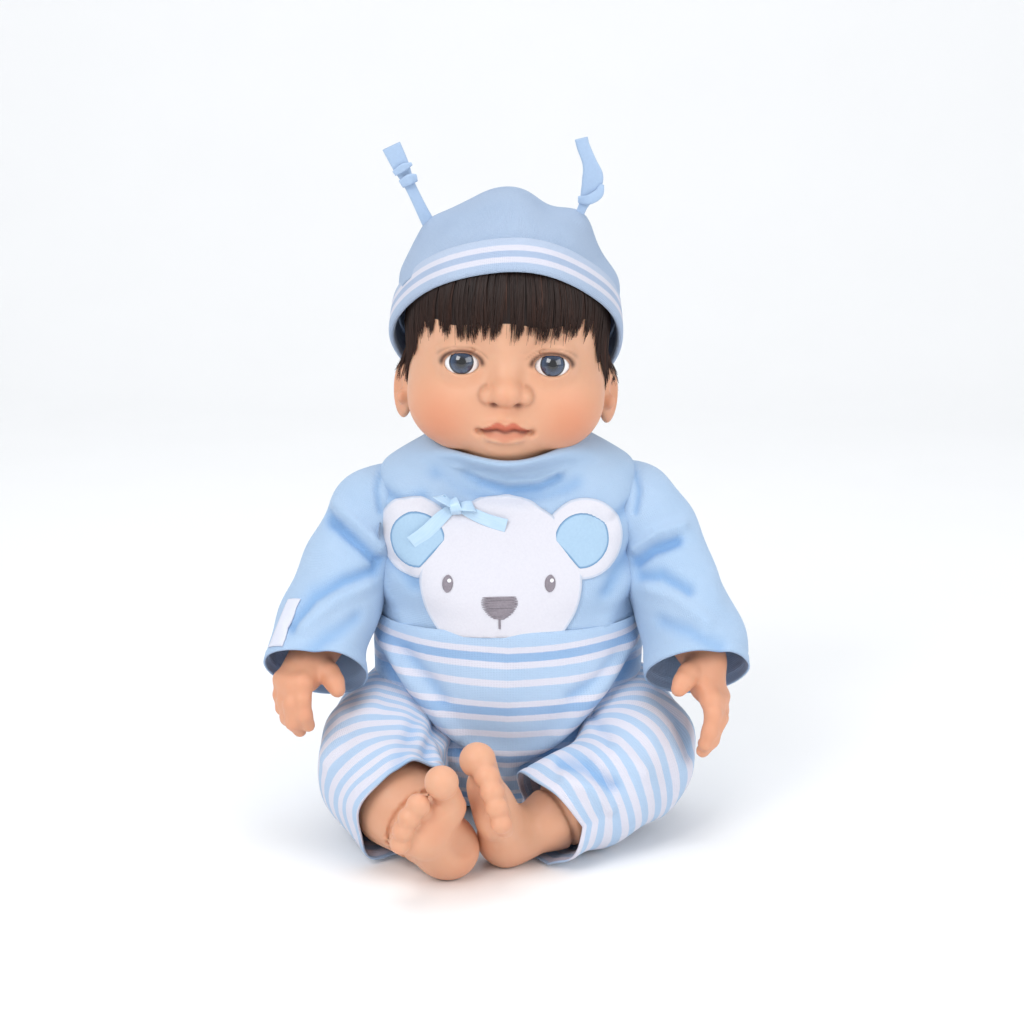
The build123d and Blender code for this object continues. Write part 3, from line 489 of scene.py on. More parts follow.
def vinyl():
    """Painted soft vinyl skin, with blush, lips and lid lines where the mesh says."""
    material, tree, shader = new_material("vinyl_skin")
    where = coordinates(tree)
    mottle = noise_of(tree, where, 0.045, 3)
    fine = noise_of(tree, where, 0.5, 2)
    colour = mix(tree, mottle, linear(222, 173, 142), linear(216, 163, 131))
    lip_colour = mix(tree, mottle, linear(196, 108, 82), linear(186, 98, 74))
    coats = [
        (fine, 0.18, linear(208, 150, 118)),
        (attribute(tree, "blush"), 0.7, linear(214, 134, 98)),
        (attribute(tree, "lips"), 1.0, lip_colour),
        (attribute(tree, "shade"), 0.92, linear(104, 44, 30)),
        (attribute(tree, "liner"), 0.95, linear(72, 40, 27)),
    ]
    for amount, share, paint in coats:
        colour = mix(tree, scaled(tree, amount, share), colour, paint)
    settle(tree, shader, {
        "Base Color": colour,
        "Roughness": scaled(tree, noise_of(tree, where, 0.3, 4), 0.18, 0.40),
        "Subsurface Weight": 0.18,
        "Subsurface Radius": (1.0, 0.35, 0.2),
        "Subsurface Scale": 0.004,
        "Specular IOR Level": 0.4,
        "Normal": bump(tree, noise_of(tree, where, 1.4, 3), 0.06, 0.0004),
    })
    return material


def make_head():
    points, faces = head_clay().mesh()
    skin = make_mesh("head_skin", leaned(points), faces, attributes=face_paint(points))
    skin.data.materials.append(VINYL)
    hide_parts("head_shell", "eye_cup_left", "eye_cup_right")
    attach(skin, "head")
    return BVHTree.FromPolygons(points.tolist(), faces.tolist())


def eye_material():
    """A glassy acrylic eye: white, a ringed blue-grey iris with spokes, and a black pupil."""
    material, tree, shader = new_material("eye_acrylic")
    radius = attribute(tree, "from_axis")
    around = {"X": attribute(tree, "around"), "Y": scaled(tree, radius, 0.08)}
    spokes = noise_of(tree, node(tree, "ShaderNodeCombineXYZ", around).outputs[0], 5.0, 4, 0.7)
    white = mix(tree, noise_of(tree, coordinates(tree), 0.4), linear(226, 226, 230), linear(240, 238, 236))
    iris = mix(tree, spokes, linear(10, 17, 32), linear(66, 90, 124))
    iris = mix(tree, between(tree, radius, 2.0, 4.4), linear(13, 22, 42), iris)
    # dark ring, pupil and the white outside them, each as where it starts and where it is full
    zones = [(4.5, 5.4, linear(9, 13, 24)), (2.3, 1.8, linear(5, 6, 9)), (5.5, 5.8, white)]
    for start, full, colour in zones:
        iris = mix(tree, between(tree, radius, start, full), iris, colour)
    settle(tree, shader, {
        "Base Color": iris,
        "Roughness": 0.12,
        "Coat Weight": 1.0,
        "Coat Roughness": 0.02,
        "Normal": bump(tree, spokes, 0.05, 0.0001),
    })
    return material


def make_eyes():
    material = eye_material()
    for name, side in SIDES.items():
        gaze = unit([0.02 * side, -1.0, 0.14])
        across = unit(np.cross(gaze, (0, 0, 1)))
        above = np.cross(across, gaze)
        polar = np.linspace(0, math.pi, 60) ** 1.35 / math.pi**0.35
        turn = np.linspace(0, 2 * math.pi, 72, endpoint=False)
        p, t = np.meshgrid(polar, turn, indexing="ij")
        from_axis = EYE_R * np.sin(np.minimum(p, math.pi / 2)) + EYE_R * np.maximum(p - math.pi / 2, 0)
        radius = EYE_R + 0.7 * smoothstep(-from_axis, -6.0, -1.0)
        direction = (
            np.cos(p)[..., None] * gaze
            + (np.sin(p) * np.cos(t))[..., None] * across
            + (np.sin(p) * np.sin(t))[..., None] * above
        )
        points = (EYE * (side, 1, 1) + radius[..., None] * direction).reshape(-1, 3)
        spoke = np.abs((t + 0.4 * side) % (2 * math.pi) - math.pi) * 6
        eye = make_mesh(
            f"doll_eye_{name}",
            leaned(points),
            grid_faces(60, 72, closed=True)[:, ::-1],
            attributes={"from_axis": from_axis.ravel(), "around": spoke.ravel()},
        )
        eye.data.materials.append(material)
        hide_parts(f"eye_{name}")
        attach(eye, "head")


# ---------------------------------------------------------------- hair
HAT_CENTRE = np.array([0.0, 4.0, 232.0])
HAT_LEAN = math.radians(37)
HAT_UP = np.array([0, math.sin(HAT_LEAN), math.cos(HAT_LEAN)])
HAT_BACK = np.array([0, math.cos(HAT_LEAN), -math.sin(HAT_LEAN)])
STRAND_STEPS = 11
HAIR_STRANDS, HAIR_CLUMPS = 5200, 190
SCALP = np.array([0.0, 5.0, 236.0])


def hair_end(turn):
    """How low the hair reaches, for a direction round the head counted from the front."""
    away = np.abs(turn)
    front = 238.4 + 1.2 * np.cos(turn * 8 + 0.5)
    temple = front + (210.5 - front) * smoothstep(away, 0.8, 1.3)
    return temple + (192.0 - temple) * smoothstep(away, 1.75, 2.3)


def hair_material():
    material, tree, shader = new_material("hair_fibre")
    streak = noise_of(tree, coordinates(tree), 0.35, 3)
    shades = [(0.0, linear(18, 9, 7)), (0.55, linear(40, 22, 16)), (1.0, linear(82, 48, 34))]
    colour = ramp(tree, attribute(tree, "tone"), shades)
    colour = mix(tree, scaled(tree, streak, 0.4), colour, linear(34, 19, 14))
    colour = mix(tree, scaled(tree, attribute(tree, "along"), 0.25), colour, linear(86, 52, 37))
    settle(tree, shader, {
        "Base Color": colour,
        "Roughness": scaled(tree, streak, 0.2, 0.48),
        "Anisotropic": 0.4,
        "Specular IOR Level": 0.35,
        "Normal": bump(tree, streak, 0.2, 0.0002),
    })
    return material


def scalp_table(tree, turns, polars):
    """The head's distance from a point inside it, for directions round from the front and down from the top."""
    table = np.empty((len(turns), len(polars)))
    centre = Vector(SCALP)
    for i, turn in enumerate(turns):
        for j, polar in enumerate(polars):
            s = math.sin(polar)
            way = Vector((s * math.sin(turn), -s * math.cos(turn), math.cos(polar)))
            hit = tree.ray_cast(centre + way * 110, -way)[0]
            table[i, j] = (hit - centre).length if hit else 50.0
    return table


def make_hair(head_tree):
    """Fine strands that fall from the crown of the head, in soft clumps, over a close cap."""
    turns, polars = np.linspace(-math.pi, math.pi, 181), np.linspace(0.02, 2.6, 130)
    table = scalp_table(head_tree, turns, polars)

    def radius_at(turn, polar):
        i = (turn + math.pi) % (2 * math.pi) / (turns[1] - turns[0])
        j = np.clip((polar - polars[0]) / (polars[1] - polars[0]), 0, len(polars) - 1.001)
        i0, j0 = np.floor(i).astype(int) % (len(turns) - 1), np.floor(j).astype(int)
        a, b = i - np.floor(i), j - j0
        low = table[i0, j0] * (1 - b) + table[i0, j0 + 1] * b
        high = table[i0 + 1, j0] * (1 - b) + table[i0 + 1, j0 + 1] * b
        return low * (1 - a) + high * a

    def surface(turn, polar, lift):
        way = np.stack([np.sin(polar) * np.sin(turn), -np.sin(polar) * np.cos(turn), np.cos(polar)], -1)
        return SCALP + way * (radius_at(turn, polar) + lift)[..., None], way

    def polar_at_height(turn, height):
        fine = np.linspace(0.3, 2.5, 160)
        across, down = np.meshgrid(turn, fine, indexing="ij")
        z = surface(across, down, 0 * across)[0][..., 2]
        return fine[np.argmax(z <= height[:, None], axis=1)]

    turn = rng.uniform(-math.pi, math.pi, HAIR_STRANDS)
    layer, ragged = rng.uniform(0, 1, HAIR_STRANDS), rng.normal(0, 1, HAIR_STRANDS)
    shift = rng.uniform(-1, 1, HAIR_CLUMPS)
    clump = ((turn + math.pi) / (2 * math.pi) * HAIR_CLUMPS).astype(int) % HAIR_CLUMPS
    centre = (clump + 0.5) / HAIR_CLUMPS * 2 * math.pi - math.pi
    low = hair_end(turn) + 1.5 * ragged + 2.2 * shift[clump] + 4.5 * layer**2
    ends = polar_at_height(turn, low)
    starts = rng.uniform(0.04, 1.0, HAIR_STRANDS) * (1 - 0.6 * (np.abs(turn) > 1.2))
    starts = np.minimum(starts, ends - 0.25)
    share = np.linspace(0, 1, STRAND_STEPS + 1)[None]
    lean = 0.05 * shift[(clump * 7) % HAIR_CLUMPS] + 0.02 * ragged
    at = turn[:, None] + (centre - turn)[:, None] * 0.7 * share**2 + lean[:, None] * share**1.5
    polar = starts[:, None] + (ends - starts)[:, None] * share
    lift = 0.35 + 1.5 * (1 - layer)[:, None] * (1 - 0.55 * share) + 0.25 * np.sin(share * 5 + ragged[:, None])
    covered = smoothstep((surface(at, polar, 0 * lift)[0] - HAT_CENTRE) @ HAT_UP, 1, 8)
    middle, out = surface(at, polar, lift * (1 - 0.9 * covered))
    sideways = unit(np.stack([np.cos(at), np.sin(at), 0 * at], -1))
    half = (0.20 + 0.16 * rng.uniform(0, 1, HAIR_STRANDS))[:, None] * np.clip(1.15 - share**2.2, 0.12, 1)
    edge = sideways * half[..., None]
    verts = np.stack([middle - edge, middle + out * 0.16, middle + edge], 2)
    tone = np.clip(0.34 + 0.17 * ragged + 0.16 * shift[clump], 0, 1)
    steps = STRAND_STEPS + 1
    base = (np.arange(HAIR_STRANDS) * steps * 3)[:, None] + (np.arange(STRAND_STEPS) * 3)[None]
    corners = [base, base + 3, base + 4, base + 1]
    halves = [np.stack([corner + k for corner in corners], -1).reshape(-1, 4) for k in (0, 1)]
    marks = {"tone": np.repeat(tone, steps * 3), "along": np.tile(np.repeat(share[0] ** 2, 3), HAIR_STRANDS)}
    strands = make_mesh("wig_strands", leaned(verts.reshape(-1, 3)), np.vstack(halves), attributes=marks)
    strands.data.materials.append(HAIR)
    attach(strands, "head")

    rows, columns = 46, 140
    around = np.linspace(-math.pi, math.pi, columns, endpoint=False)
    bottom = polar_at_height(around, hair_end(around) + 4.0)
    polar = np.linspace(0.03, 1, rows)[:, None] * bottom[None]
    lift = np.full((rows, columns), 0.3)
    lift[-1] = -0.6
    cap = surface(np.repeat(around[None], rows, 0), polar, lift)[0].reshape(-1, 3)
    # painted shade: the cap takes the darkest hair tone, for the shade deep under the strands
    dark = np.full(len(cap), 0.12)
    faces = grid_faces(rows, columns, closed=True)[:, ::-1]
    base = make_mesh("wig_base", leaned(cap), faces, attributes={"tone": dark, "along": dark})
    base.data.materials.append(HAIR)
    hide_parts("hair")
    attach(base, "head")


# ---------------------------------------------------------------- cloth
FOLD_DEPTH = 1.8
# fold depth at which the painted shade in a crease is full
CREASE_SHADE_FULL = 3
RIPPLE_WAVES = 9
RIB_WIDTH, LOOP_HEIGHT = 0.95, 0.8
STRIPE_WOBBLE, STRIPE_EDGE = 0.35, 0.22


def normals_of(grid, closed):
    """Unit normals of a grid of points; columns cross rows."""
    down = np.gradient(grid, axis=0)
    along = (np.roll(grid, -1, 1) - np.roll(grid, 1, 1)) / 2 if closed else np.gradient(grid, axis=1)
    n = np.cross(along, down)
    return n / np.maximum(np.linalg.norm(n, axis=-1, keepdims=True), 1e-9)


def doubled(name, grid, uv, closed, thickness, flip=False, marks=None):
    """Cloth with two faces and turned edges, its outer face on the grid."""
    rows, columns = grid.shape[:2]
    faces = grid_faces(rows, columns, closed)
    n = normals_of(grid, closed)
    if flip:
        faces = faces[:, ::-1]
        n = -n
    count = rows * columns
    inner = grid - n * thickness
    edges = np.vstack([faces[:, [0, 1]], faces[:, [1, 2]], faces[:, [2, 3]], faces[:, [3, 0]]])
    known = set(map(tuple, edges.tolist()))
    border = [(a, b) for a, b in known if (b, a) not in known]
    rim = [(b, a, a + count, b + count) for a, b in border]
    everything = np.vstack([faces, faces[:, ::-1] + count, np.array(rim).reshape(-1, 4)])
    # inside marks the inner face, which the knit darkens as painted shade
    attributes = {"inside": np.r_[np.zeros(count), np.ones(count)]}
    for key, values in (marks or {}).items():
        attributes[key] = np.tile(np.asarray(values, float).ravel(), 2)
    verts = np.vstack([grid.reshape(-1, 3), inner.reshape(-1, 3)])
    return make_mesh(name, verts, everything, uv=np.tile(uv.reshape(-1, 2), (2, 1)), attributes=attributes)


def section_distance(points, path):
    """How far points lie from a broken line of (x, z), as seen from the front."""
    p = points[..., [0, 2]]
    best = np.full(p.shape[:-1], np.inf)
    path = np.asarray(path, float)
    for a, b in zip(path, path[1:]):
        run = b - a
        t = np.clip(((p - a) @ run) / run.dot(run), 0, 1)
        best = np.minimum(best, np.linalg.norm(p - a - t[..., None] * run, axis=-1))
    return best


def folded(grid, folds, flip=False):
    """The grid pushed in and out along (path, width, height) folds, and how deep in a crease each point is, which
    the knit uses as painted shade.
    """
    n = normals_of(grid, True) * (-1 if flip else 1)
    facing = FOLD_DEPTH * smoothstep(-n[..., 1], -0.15, 0.45)
    push = np.zeros(grid.shape[:2])
    for path, width, height in folds:
        push += height * bell(section_distance(grid, path), width) * facing
    return grid + n * push[..., None], np.clip(-push / CREASE_SHADE_FULL, 0, 1)


def ripples(grid, size, height, seed, flip=False):
    """Soft irregular waves over a closed grid."""
    n = normals_of(grid, True) * (-1 if flip else 1)
    draw = np.random.default_rng(seed)
    push = np.zeros(grid.shape[:2])
    for _ in range(RIPPLE_WAVES):
        direction = unit(draw.normal(size=3)) * 2 * math.pi / (size * draw.uniform(0.7, 1.6))
        push += np.sin(grid @ direction + draw.uniform(0, 6.3))
    return grid + n * (push * height / 3)[..., None]


def closed_tree(grid):
    """A closed grid's surface, for casting rays at it and finding places on it."""
    faces = grid_faces(*grid.shape[:2], closed=True)
    return BVHTree.FromPolygons(grid.reshape(-1, 3).tolist(), faces.tolist())


def grid_area(grid, closed):
    """The area of a grid of points."""
    ahead = np.roll(grid, -1, 1) if closed else grid[:, 1:]
    here = grid if closed else grid[:, :-1]
    first = np.cross(ahead[:-1] - here[:-1], here[1:] - here[:-1])
    second = np.cross(here[1:] - ahead[1:], ahead[:-1] - ahead[1:])
    return (np.linalg.norm(first, axis=-1).sum() + np.linalg.norm(second, axis=-1).sum()) / 2


def declare_cloth(piece, grid, closed, with_pieces=()):
    """Works out the flat size and area that a sheet's grid of points has, and keeps none of it."""
    ahead = np.roll(grid, -1, 1) if closed else grid[:, 1:]
    here = grid if closed else grid[:, :-1]
    width = np.linalg.norm(ahead - here, axis=-1).sum(1).max()
    length = np.linalg.norm(np.diff(grid, axis=0), axis=-1).sum(0).max()
    area = max(min(grid_area(grid, closed), width * length), 0.3 * width * length)


def knit(name, colour_of, melange=0.12, relief=0.3):
    """Knitted cotton jersey. colour_of gives the base colour from the tree and its coordinates."""
    material, tree, shader = new_material(name)
    where = coordinates(tree)
    uv = node(tree, "ShaderNodeUVMap", uv_map="cloth").outputs[0]
    u, v = node(tree, "ShaderNodeSeparateXYZ", {"Vector": uv}).outputs[:2]
    rib = math_node(tree, "SINE", scaled(tree, u, 2 * math.pi / RIB_WIDTH))
    slant = scaled(tree, math_node(tree, "ABSOLUTE", rib), 1.6)
    loop = math_node(tree, "SINE", math_node(tree, "ADD", scaled(tree, v, 2 * math.pi / LOOP_HEIGHT), slant))
    stitch = scaled(tree, rib, 0.5, scaled(tree, loop, 0.5))
    drawn_out = node(tree, "ShaderNodeVectorMath", {0: uv, 1: (0.5, 2.2, 1)}, operation="MULTIPLY").outputs[0]
    yarn = noise_of(tree, drawn_out, 0.9, 3)
    soft = noise_of(tree, where, 0.05, 3)
    colour = colour_of(tree, where)
    shades = [
        (yarn, melange, (0.42, 0.55, 0.72), "MULTIPLY"),
        (soft, 0.10, (1, 1, 1), "MIX"),
        # painted shade: the creases of the folds are darkened towards a deeper blue
        (attribute(tree, "crease"), 0.85, (0.50, 0.70, 0.90), "MULTIPLY"),
        # painted shade: the inner face of the cloth is darkened
        (attribute(tree, "inside"), 0.45, (0.42, 0.56, 0.78), "MULTIPLY"),
    ]
    for amount, share, shade, mode in shades:
        colour = mix(tree, scaled(tree, amount, share), colour, shade, mode)
    settle(tree, shader, {
        "Base Color": colour,
        "Roughness": scaled(tree, yarn, 0.12, 0.80),
        "Specular IOR Level": 0.2,
        "Sheen Weight": 0.12,
        "Sheen Roughness": 0.5,
        "Normal": bump(tree, soft, 0.15, 0.001, bump(tree, stitch, relief, 0.0004)),
    })
    return material


BLUE, BLUE_LIGHT, BLUE_DEEP = linear(164, 190, 218), linear(170, 195, 222), linear(140, 174, 212)
WHITE = linear(213, 212, 224)
HAT_BLUE = linear(167, 187, 213)


def plain(colour):
    return lambda tree, where: colour


def striped(period, bands):
    """Stripes along the mesh's "stripe" attribute: bands are (start in mm, colour)."""

    def colour_of(tree, where):
        wobble = noise_of(tree, where, 0.35, 2)
        shifted = scaled(tree, wobble, STRIPE_WOBBLE, attribute(tree, "stripe"))
        share = math_node(tree, "DIVIDE", math_node(tree, "FLOORED_MODULO", shifted, period), period)
        edge = STRIPE_EDGE / period
        stops = [(0, bands[0][1])]
        for (_, before), (start, colour) in zip(bands, bands[1:]):
            stops += [(start / period - edge, before), (start / period + edge, colour)]
        return ramp(tree, share, stops)

    return colour_of


# ---------------------------------------------------------------- romper top and seat
TOP_LEVELS = [
    (95, 62.8, 49.6, -4.0), (100, 63.0, 49.4, -4.0), (112, 61.5, 47.5, -4.0), (124, 60.4, 45.0, -3.2),
    (135, 59.8, 42.5, -2.0), (145, 60.2, 40.5, -1.0), (154, 61.0, 38.0, 0.0), (162, 61.4, 35.8, 0.8),
    (167, 60.6, 34.6, 1.0), (170.5, 58.4, 34.2, 0.6), (173.5, 54.6, 34.0, 0.0), (176.5, 49.8, 34.8, -1.2),
    (179.4, 44.6, 36.6, -2.6), (181.8, 40.2, 37.6, -3.6), (183.2, 37.6, 37.2, -3.6),
    (183.6, 36.0, 36.2, -3.4),
]
TOP_FOLDS = [
    ([(-19, 171), (-12, 167), (0, 163.5), (14, 164.5), (24, 169)], 2.3, -1.5),
    ([(-24, 174), (-14, 169.5), (0, 167), (15, 168), (25, 172.5)], 1.8, 0.9),
    ([(-34, 170), (-22, 162), (-4, 158.5), (18, 160), (32, 166)], 3.2, -0.9),
    ([(-30, 166), (-14, 156), (6, 154.5), (22, 158)], 3.4, 0.7),
    ([(-57, 158), (-47, 156), (-40, 160)], 3.0, -1.0),
    ([(57, 152), (47, 147), (40, 150)], 3.2, -1.0),
    ([(-60, 132), (-50, 128), (-44, 120)], 4.0, -1.2),
    ([(60, 132), (52, 126), (47, 116)], 4.0, -1.2),
    ([(58, 118), (50, 110), (46, 100)], 4.0, 1.0),
    ([(-60, 116), (-52, 108), (-48, 99)], 4.0, 1.0),
]
SEAT_FOLDS = [
    ([(-60, 80), (-50, 66), (-36, 50), (-20, 38), (-8, 30)], 3.2, -2.4),
    ([(60, 80), (50, 66), (36, 50), (20, 38), (8, 30)], 3.2, -2.4),
    ([(-58, 88), (-46, 74), (-34, 62), (-24, 50)], 3.6, 1.4),
    ([(58, 88), (46, 74), (34, 62), (24, 50)], 3.6, 1.4),
    ([(-48, 88), (-38, 78), (-30, 68)], 3.0, -0.9),
    ([(52, 84), (42, 76), (30, 70)], 3.0, -0.9),
    ([(-20, 45), (0, 40), (20, 45)], 4.0, 0.8),
]
SEAT_LEVELS = [
    (99.8, 63.5, 50.2, -4.0), (98.3, 64.3, 51.0, -4.0), (95.6, 64.8, 51.8, -4.0),
    (88, 65.2, 53.2, -4.2), (80, 65.4, 55.0, -4.4),
    (70, 64.6, 56.0, -5.0), (60, 63.6, 55.4, -5.4), (50, 62.0, 53.6, -5.4), (40, 60.0, 50.4, -5.0),
    (30, 57.0, 46.0, -4.0), (20, 52.0, 41.4, -2.0), (11, 46.0, 37.0, 0.0), (5, 39.0, 32.0, 1.0),
    (1.8, 30.0, 25.0, 2.0), (0.7, 18.0, 16.0, 2.0), (0.5, 2.0, 2.0, 2.0),
]


def body_grid(levels, rows, columns, power=2.25, boxy=0.0):
    """A closed trunk from (z, half width, half depth, middle) levels, its columns counted from the back."""
    table, _ = spline([(z, z, rx, ry, cy) for z, rx, ry, cy in levels], 400)
    z = table[:, 1]
    step = np.r_[0, np.cumsum(np.hypot(np.diff(table[:, 1]), np.diff(table[:, 2])))]
    pick = np.linspace(0, step[-1], rows)
    z, rx, ry, cy = (np.interp(pick, step, table[:, k])[:, None] for k in (1, 2, 3, 4))
    t = np.linspace(math.pi, 3 * math.pi, columns, endpoint=False)[None]
    c, s = np.cos(t), np.sin(t)
    power = power + boxy * smoothstep(z, 104, 122) * smoothstep(-z, -176, -158)
    reach = (np.abs(c) ** power + np.abs(s) ** power) ** (-1 / power)
    return np.stack([rx * s * reach, cy - ry * c * reach, z + 0 * t], -1)


def collar_dip(grid):
    """Lowers the front of the neckline under the chin."""
    out = grid.copy()
    front = bell(np.arctan2(grid[..., 0], -grid[..., 1]), 0.55)
    out[..., 2] -= 4.4 * front * smoothstep(grid[..., 2], 168, 184)
    out[..., 1] -= 7.0 * front * smoothstep(grid[..., 2], 168, 184)
    return out


def make_romper():
    """The plain top, with the collar, and the striped seat. Returns the top's piece and its grid."""
    top = collar_dip(body_grid(TOP_LEVELS, 110, 176, 2.3, 0.9))
    top = ripples(top, 42, 0.8, 3)
    top, crease = folded(top, TOP_FOLDS)
    bodice = doubled("romper_bodice", top, body_uv(top), True, 1.0, marks={"crease": crease})
    bodice.data.materials.append(JERSEY)
    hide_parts("romper_top", "collar")
    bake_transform(bodice)

    seat = body_grid(SEAT_LEVELS, 120, 176, 2.35)
    seat = ripples(seat, 40, 0.8, 8, flip=True)
    seat, crease = folded(seat, SEAT_FOLDS, flip=True)
    seat[..., 2] = np.maximum(seat[..., 2], 0.3)
    drop = 98.6 - seat[..., 2] + 0.055 * np.abs(seat[..., 0]) * smoothstep(-seat[..., 1], 0, 20)
    marks = {"stripe": drop, "crease": crease}
    piece = doubled("romper_bottom", seat, body_uv(seat), True, 1.0, flip=True, marks=marks)
    piece.data.materials.append(STRIPE_WIDE)
    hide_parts("romper_seat")
    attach(piece, "torso")
    declare_cloth(piece, seat, True)
    return bodice, top


def body_uv(grid):
    """UV in millimetres: round the trunk from its front, and down its rows."""
    along = np.linalg.norm(np.diff(grid, axis=0), axis=-1).mean(1)
    ring = np.linalg.norm(grid[:, 1] - grid[:, 0], axis=-1).mean()
    around = (np.arange(grid.shape[1]) - grid.shape[1] / 2) * ring
    return np.stack(np.meshgrid(around, np.r_[0, np.cumsum(along)]), -1)


def make_inner_body():
    """The stuffed cloth body inside the clothes."""
    rows = [row for row in TOP_LEVELS[::-1] if row[0] < 172] + [row for row in SEAT_LEVELS if 6 < row[0] < 88]
    inset = [(z, max(rx - BODY_INSET, 1), max(ry - BODY_INSET, 1), cy) for z, rx, ry, cy in rows]
    levels = [(174, 34, 24, 1), (173, 40, 26, 1), *inset, (6.5, 25, 22, 1), (5.5, 6, 5, 2)]
    grid = body_grid(levels, 70, 96)
    piece = doubled("inner_body", grid, body_uv(grid), True, 0.8, flip=True)
    piece.data.materials.append(COTTON)
    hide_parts("stuffed_body")
    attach(piece, "torso")


# ---------------------------------------------------------------- sleeves and trouser legs
SLEEVE_LINE = [
    (50, 2, 151, 17.0), (56.5, 0.5, 149.4, 20.8), (63, -3, 142.8, 22.6), (72, -11, 127.4, 22.8),
    (81.5, -26, 107.5, 22.6), (87.4, -39, 92.6, 23.2), (89.0, -50.5, 79.8, 24.2),
]
SLEEVE_FOLDS = {
    "left": [
        ([(60, 128), (68, 134), (80, 138)], 2.6, -2.2),
        ([(60, 133), (70, 141), (82, 143)], 3.0, 1.5),
        ([(62, 122), (72, 124), (84, 118)], 3.0, -1.5),
        ([(66, 117), (78, 115), (92, 106)], 3.4, 1.2),
        ([(60, 150), (62, 160), (60, 170)], 1.4, -1.0),
        ([(72, 104), (84, 103), (98, 96)], 3.2, -1.0),
    ],
    "right": [
        ([(-60, 128), (-68, 136), (-80, 144), (-88, 146)], 2.6, -2.3),
        ([(-60, 134), (-70, 144), (-80, 151)], 3.0, 1.5),
        ([(-62, 124), (-76, 122), (-90, 116), (-100, 104)], 3.0, -1.6),
        ([(-66, 118), (-80, 114), (-94, 104)], 3.4, 1.3),
        ([(-60, 150), (-62, 160), (-60, 170)], 1.4, -1.0),
        ([(-70, 106), (-84, 100), (-98, 90)], 3.2, -1.0),
    ],
}
TROUSER_LINE = {
    "left": [
        (28, 4, 42, 30), (44, -8, 41.5, 33.5), (56, -28, 38.5, 32.5), (59, -46, 36, 30),
        (51, -61, 32.5, 27.5), (37, -73, 26.5, 24.5), (22, -83.5, 21.5, 22.5),
    ],
    "right": [
        (28, 4, 42, 30), (44, -10, 41, 33.5), (55, -32, 38, 32.2), (60, -53, 35.5, 30),
        (58, -69, 32.5, 27.5), (51, -83, 28, 25), (47, -89, 26, 24.5),
    ],
}
SLEEVE_SEEDS = {"left": 21, "right": 22}
TROUSER_SEEDS = {"left": 31, "right": 34}
BODY_INSET = 5.5
CUFF_LENGTH = 26
# How much further than the rest the top and the underside of each trouser cuff reach.
CUFF_REACH = {"left": ((-7, -5, -1), (-11, -13, 0)), "right": ((0, 0, 0), (-3, -4, 0))}
TROUSER_FOLDS = {
    "left": [
        ([(20, 62), (34, 60), (46, 54)], 3.0, -1.4),
        ([(24, 48), (36, 47), (48, 38)], 3.0, -1.6),
        ([(26, 42), (38, 38), (46, 28)], 3.0, 1.5),
        ([(36, 56), (50, 52), (62, 42)], 3.4, 1.0),
        ([(70, 70), (80, 58), (86, 42)], 3.4, -1.2),
    ],
    "right": [
        ([(-20, 62), (-30, 58), (-38, 48), (-42, 38)], 3.0, -1.5),
        ([(-24, 50), (-32, 44), (-36, 34)], 3.0, 1.4),
        ([(-44, 58), (-50, 50), (-50, 40)], 3.4, -1.0),
        ([(-62, 66), (-76, 58), (-84, 44)], 3.4, 1.0),
    ],
}


def tube_grid(stations, rows, columns, side):
    """A tube round a curve from (x, y, z, radius) stations."""
    table, run = spline(stations, rows)
    across, third = frames_along(table[:, :3], side)
    t = np.linspace(0, 2 * math.pi, columns, endpoint=False)
    ring = np.cos(t)[None, :, None] * across[:, None] + np.sin(t)[None, :, None] * third[:, None]
    grid = table[:, None, :3] + ring * table[:, 3][:, None, None]
    return grid, run, t, table[:, 3]


def hem(grid, run, at, depth):
    """A stitched line pressed in a little way from the open end."""
    from_end = run[-1] - run
    push = -depth * bell(from_end - at, 0.7) + 0.25 * smoothstep(-from_end, -at, -at + 1)
    return grid + normals_of(grid, True) * push[:, None, None]


def make_sleeve(name, side):
    stations = [(side * x, y, z, r) for x, y, z, r in SLEEVE_LINE]
    grid, run, turn, radius = tube_grid(stations, 96, 112, (0, 1, 0))
    ending = smoothstep(run, run[-1] - CUFF_LENGTH, run[-1])[:, None]
    wave = 1 + 0.018 * np.sin(3 * turn + 0.7 * side)[None] * ending
    centre = grid.mean(1, keepdims=True)
    grid = centre + (grid - centre) * wave[..., None]
    grid = ripples(grid, 30, 1.0, SLEEVE_SEEDS[name])
    grid, crease = folded(grid, SLEEVE_FOLDS[name])
    grid = hem(grid, run, 6.0, 0.35)
    uv = np.stack(np.meshgrid(turn * radius.mean(), run), -1)
    piece = doubled(f"sleeve_cloth_{name}", grid, uv, True, 0.9, marks={"crease": crease})
    piece.data.materials.append(JERSEY)
    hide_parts(f"sleeve_{name}")
    shoulder, upper_arm = (side * 0.050, 0.002, 0.152), (side * 0.067, -0.007, 0.135)
    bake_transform(piece)
    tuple(shoulder)
    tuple(upper_arm)
    declare_cloth(piece, grid, True)
    return grid


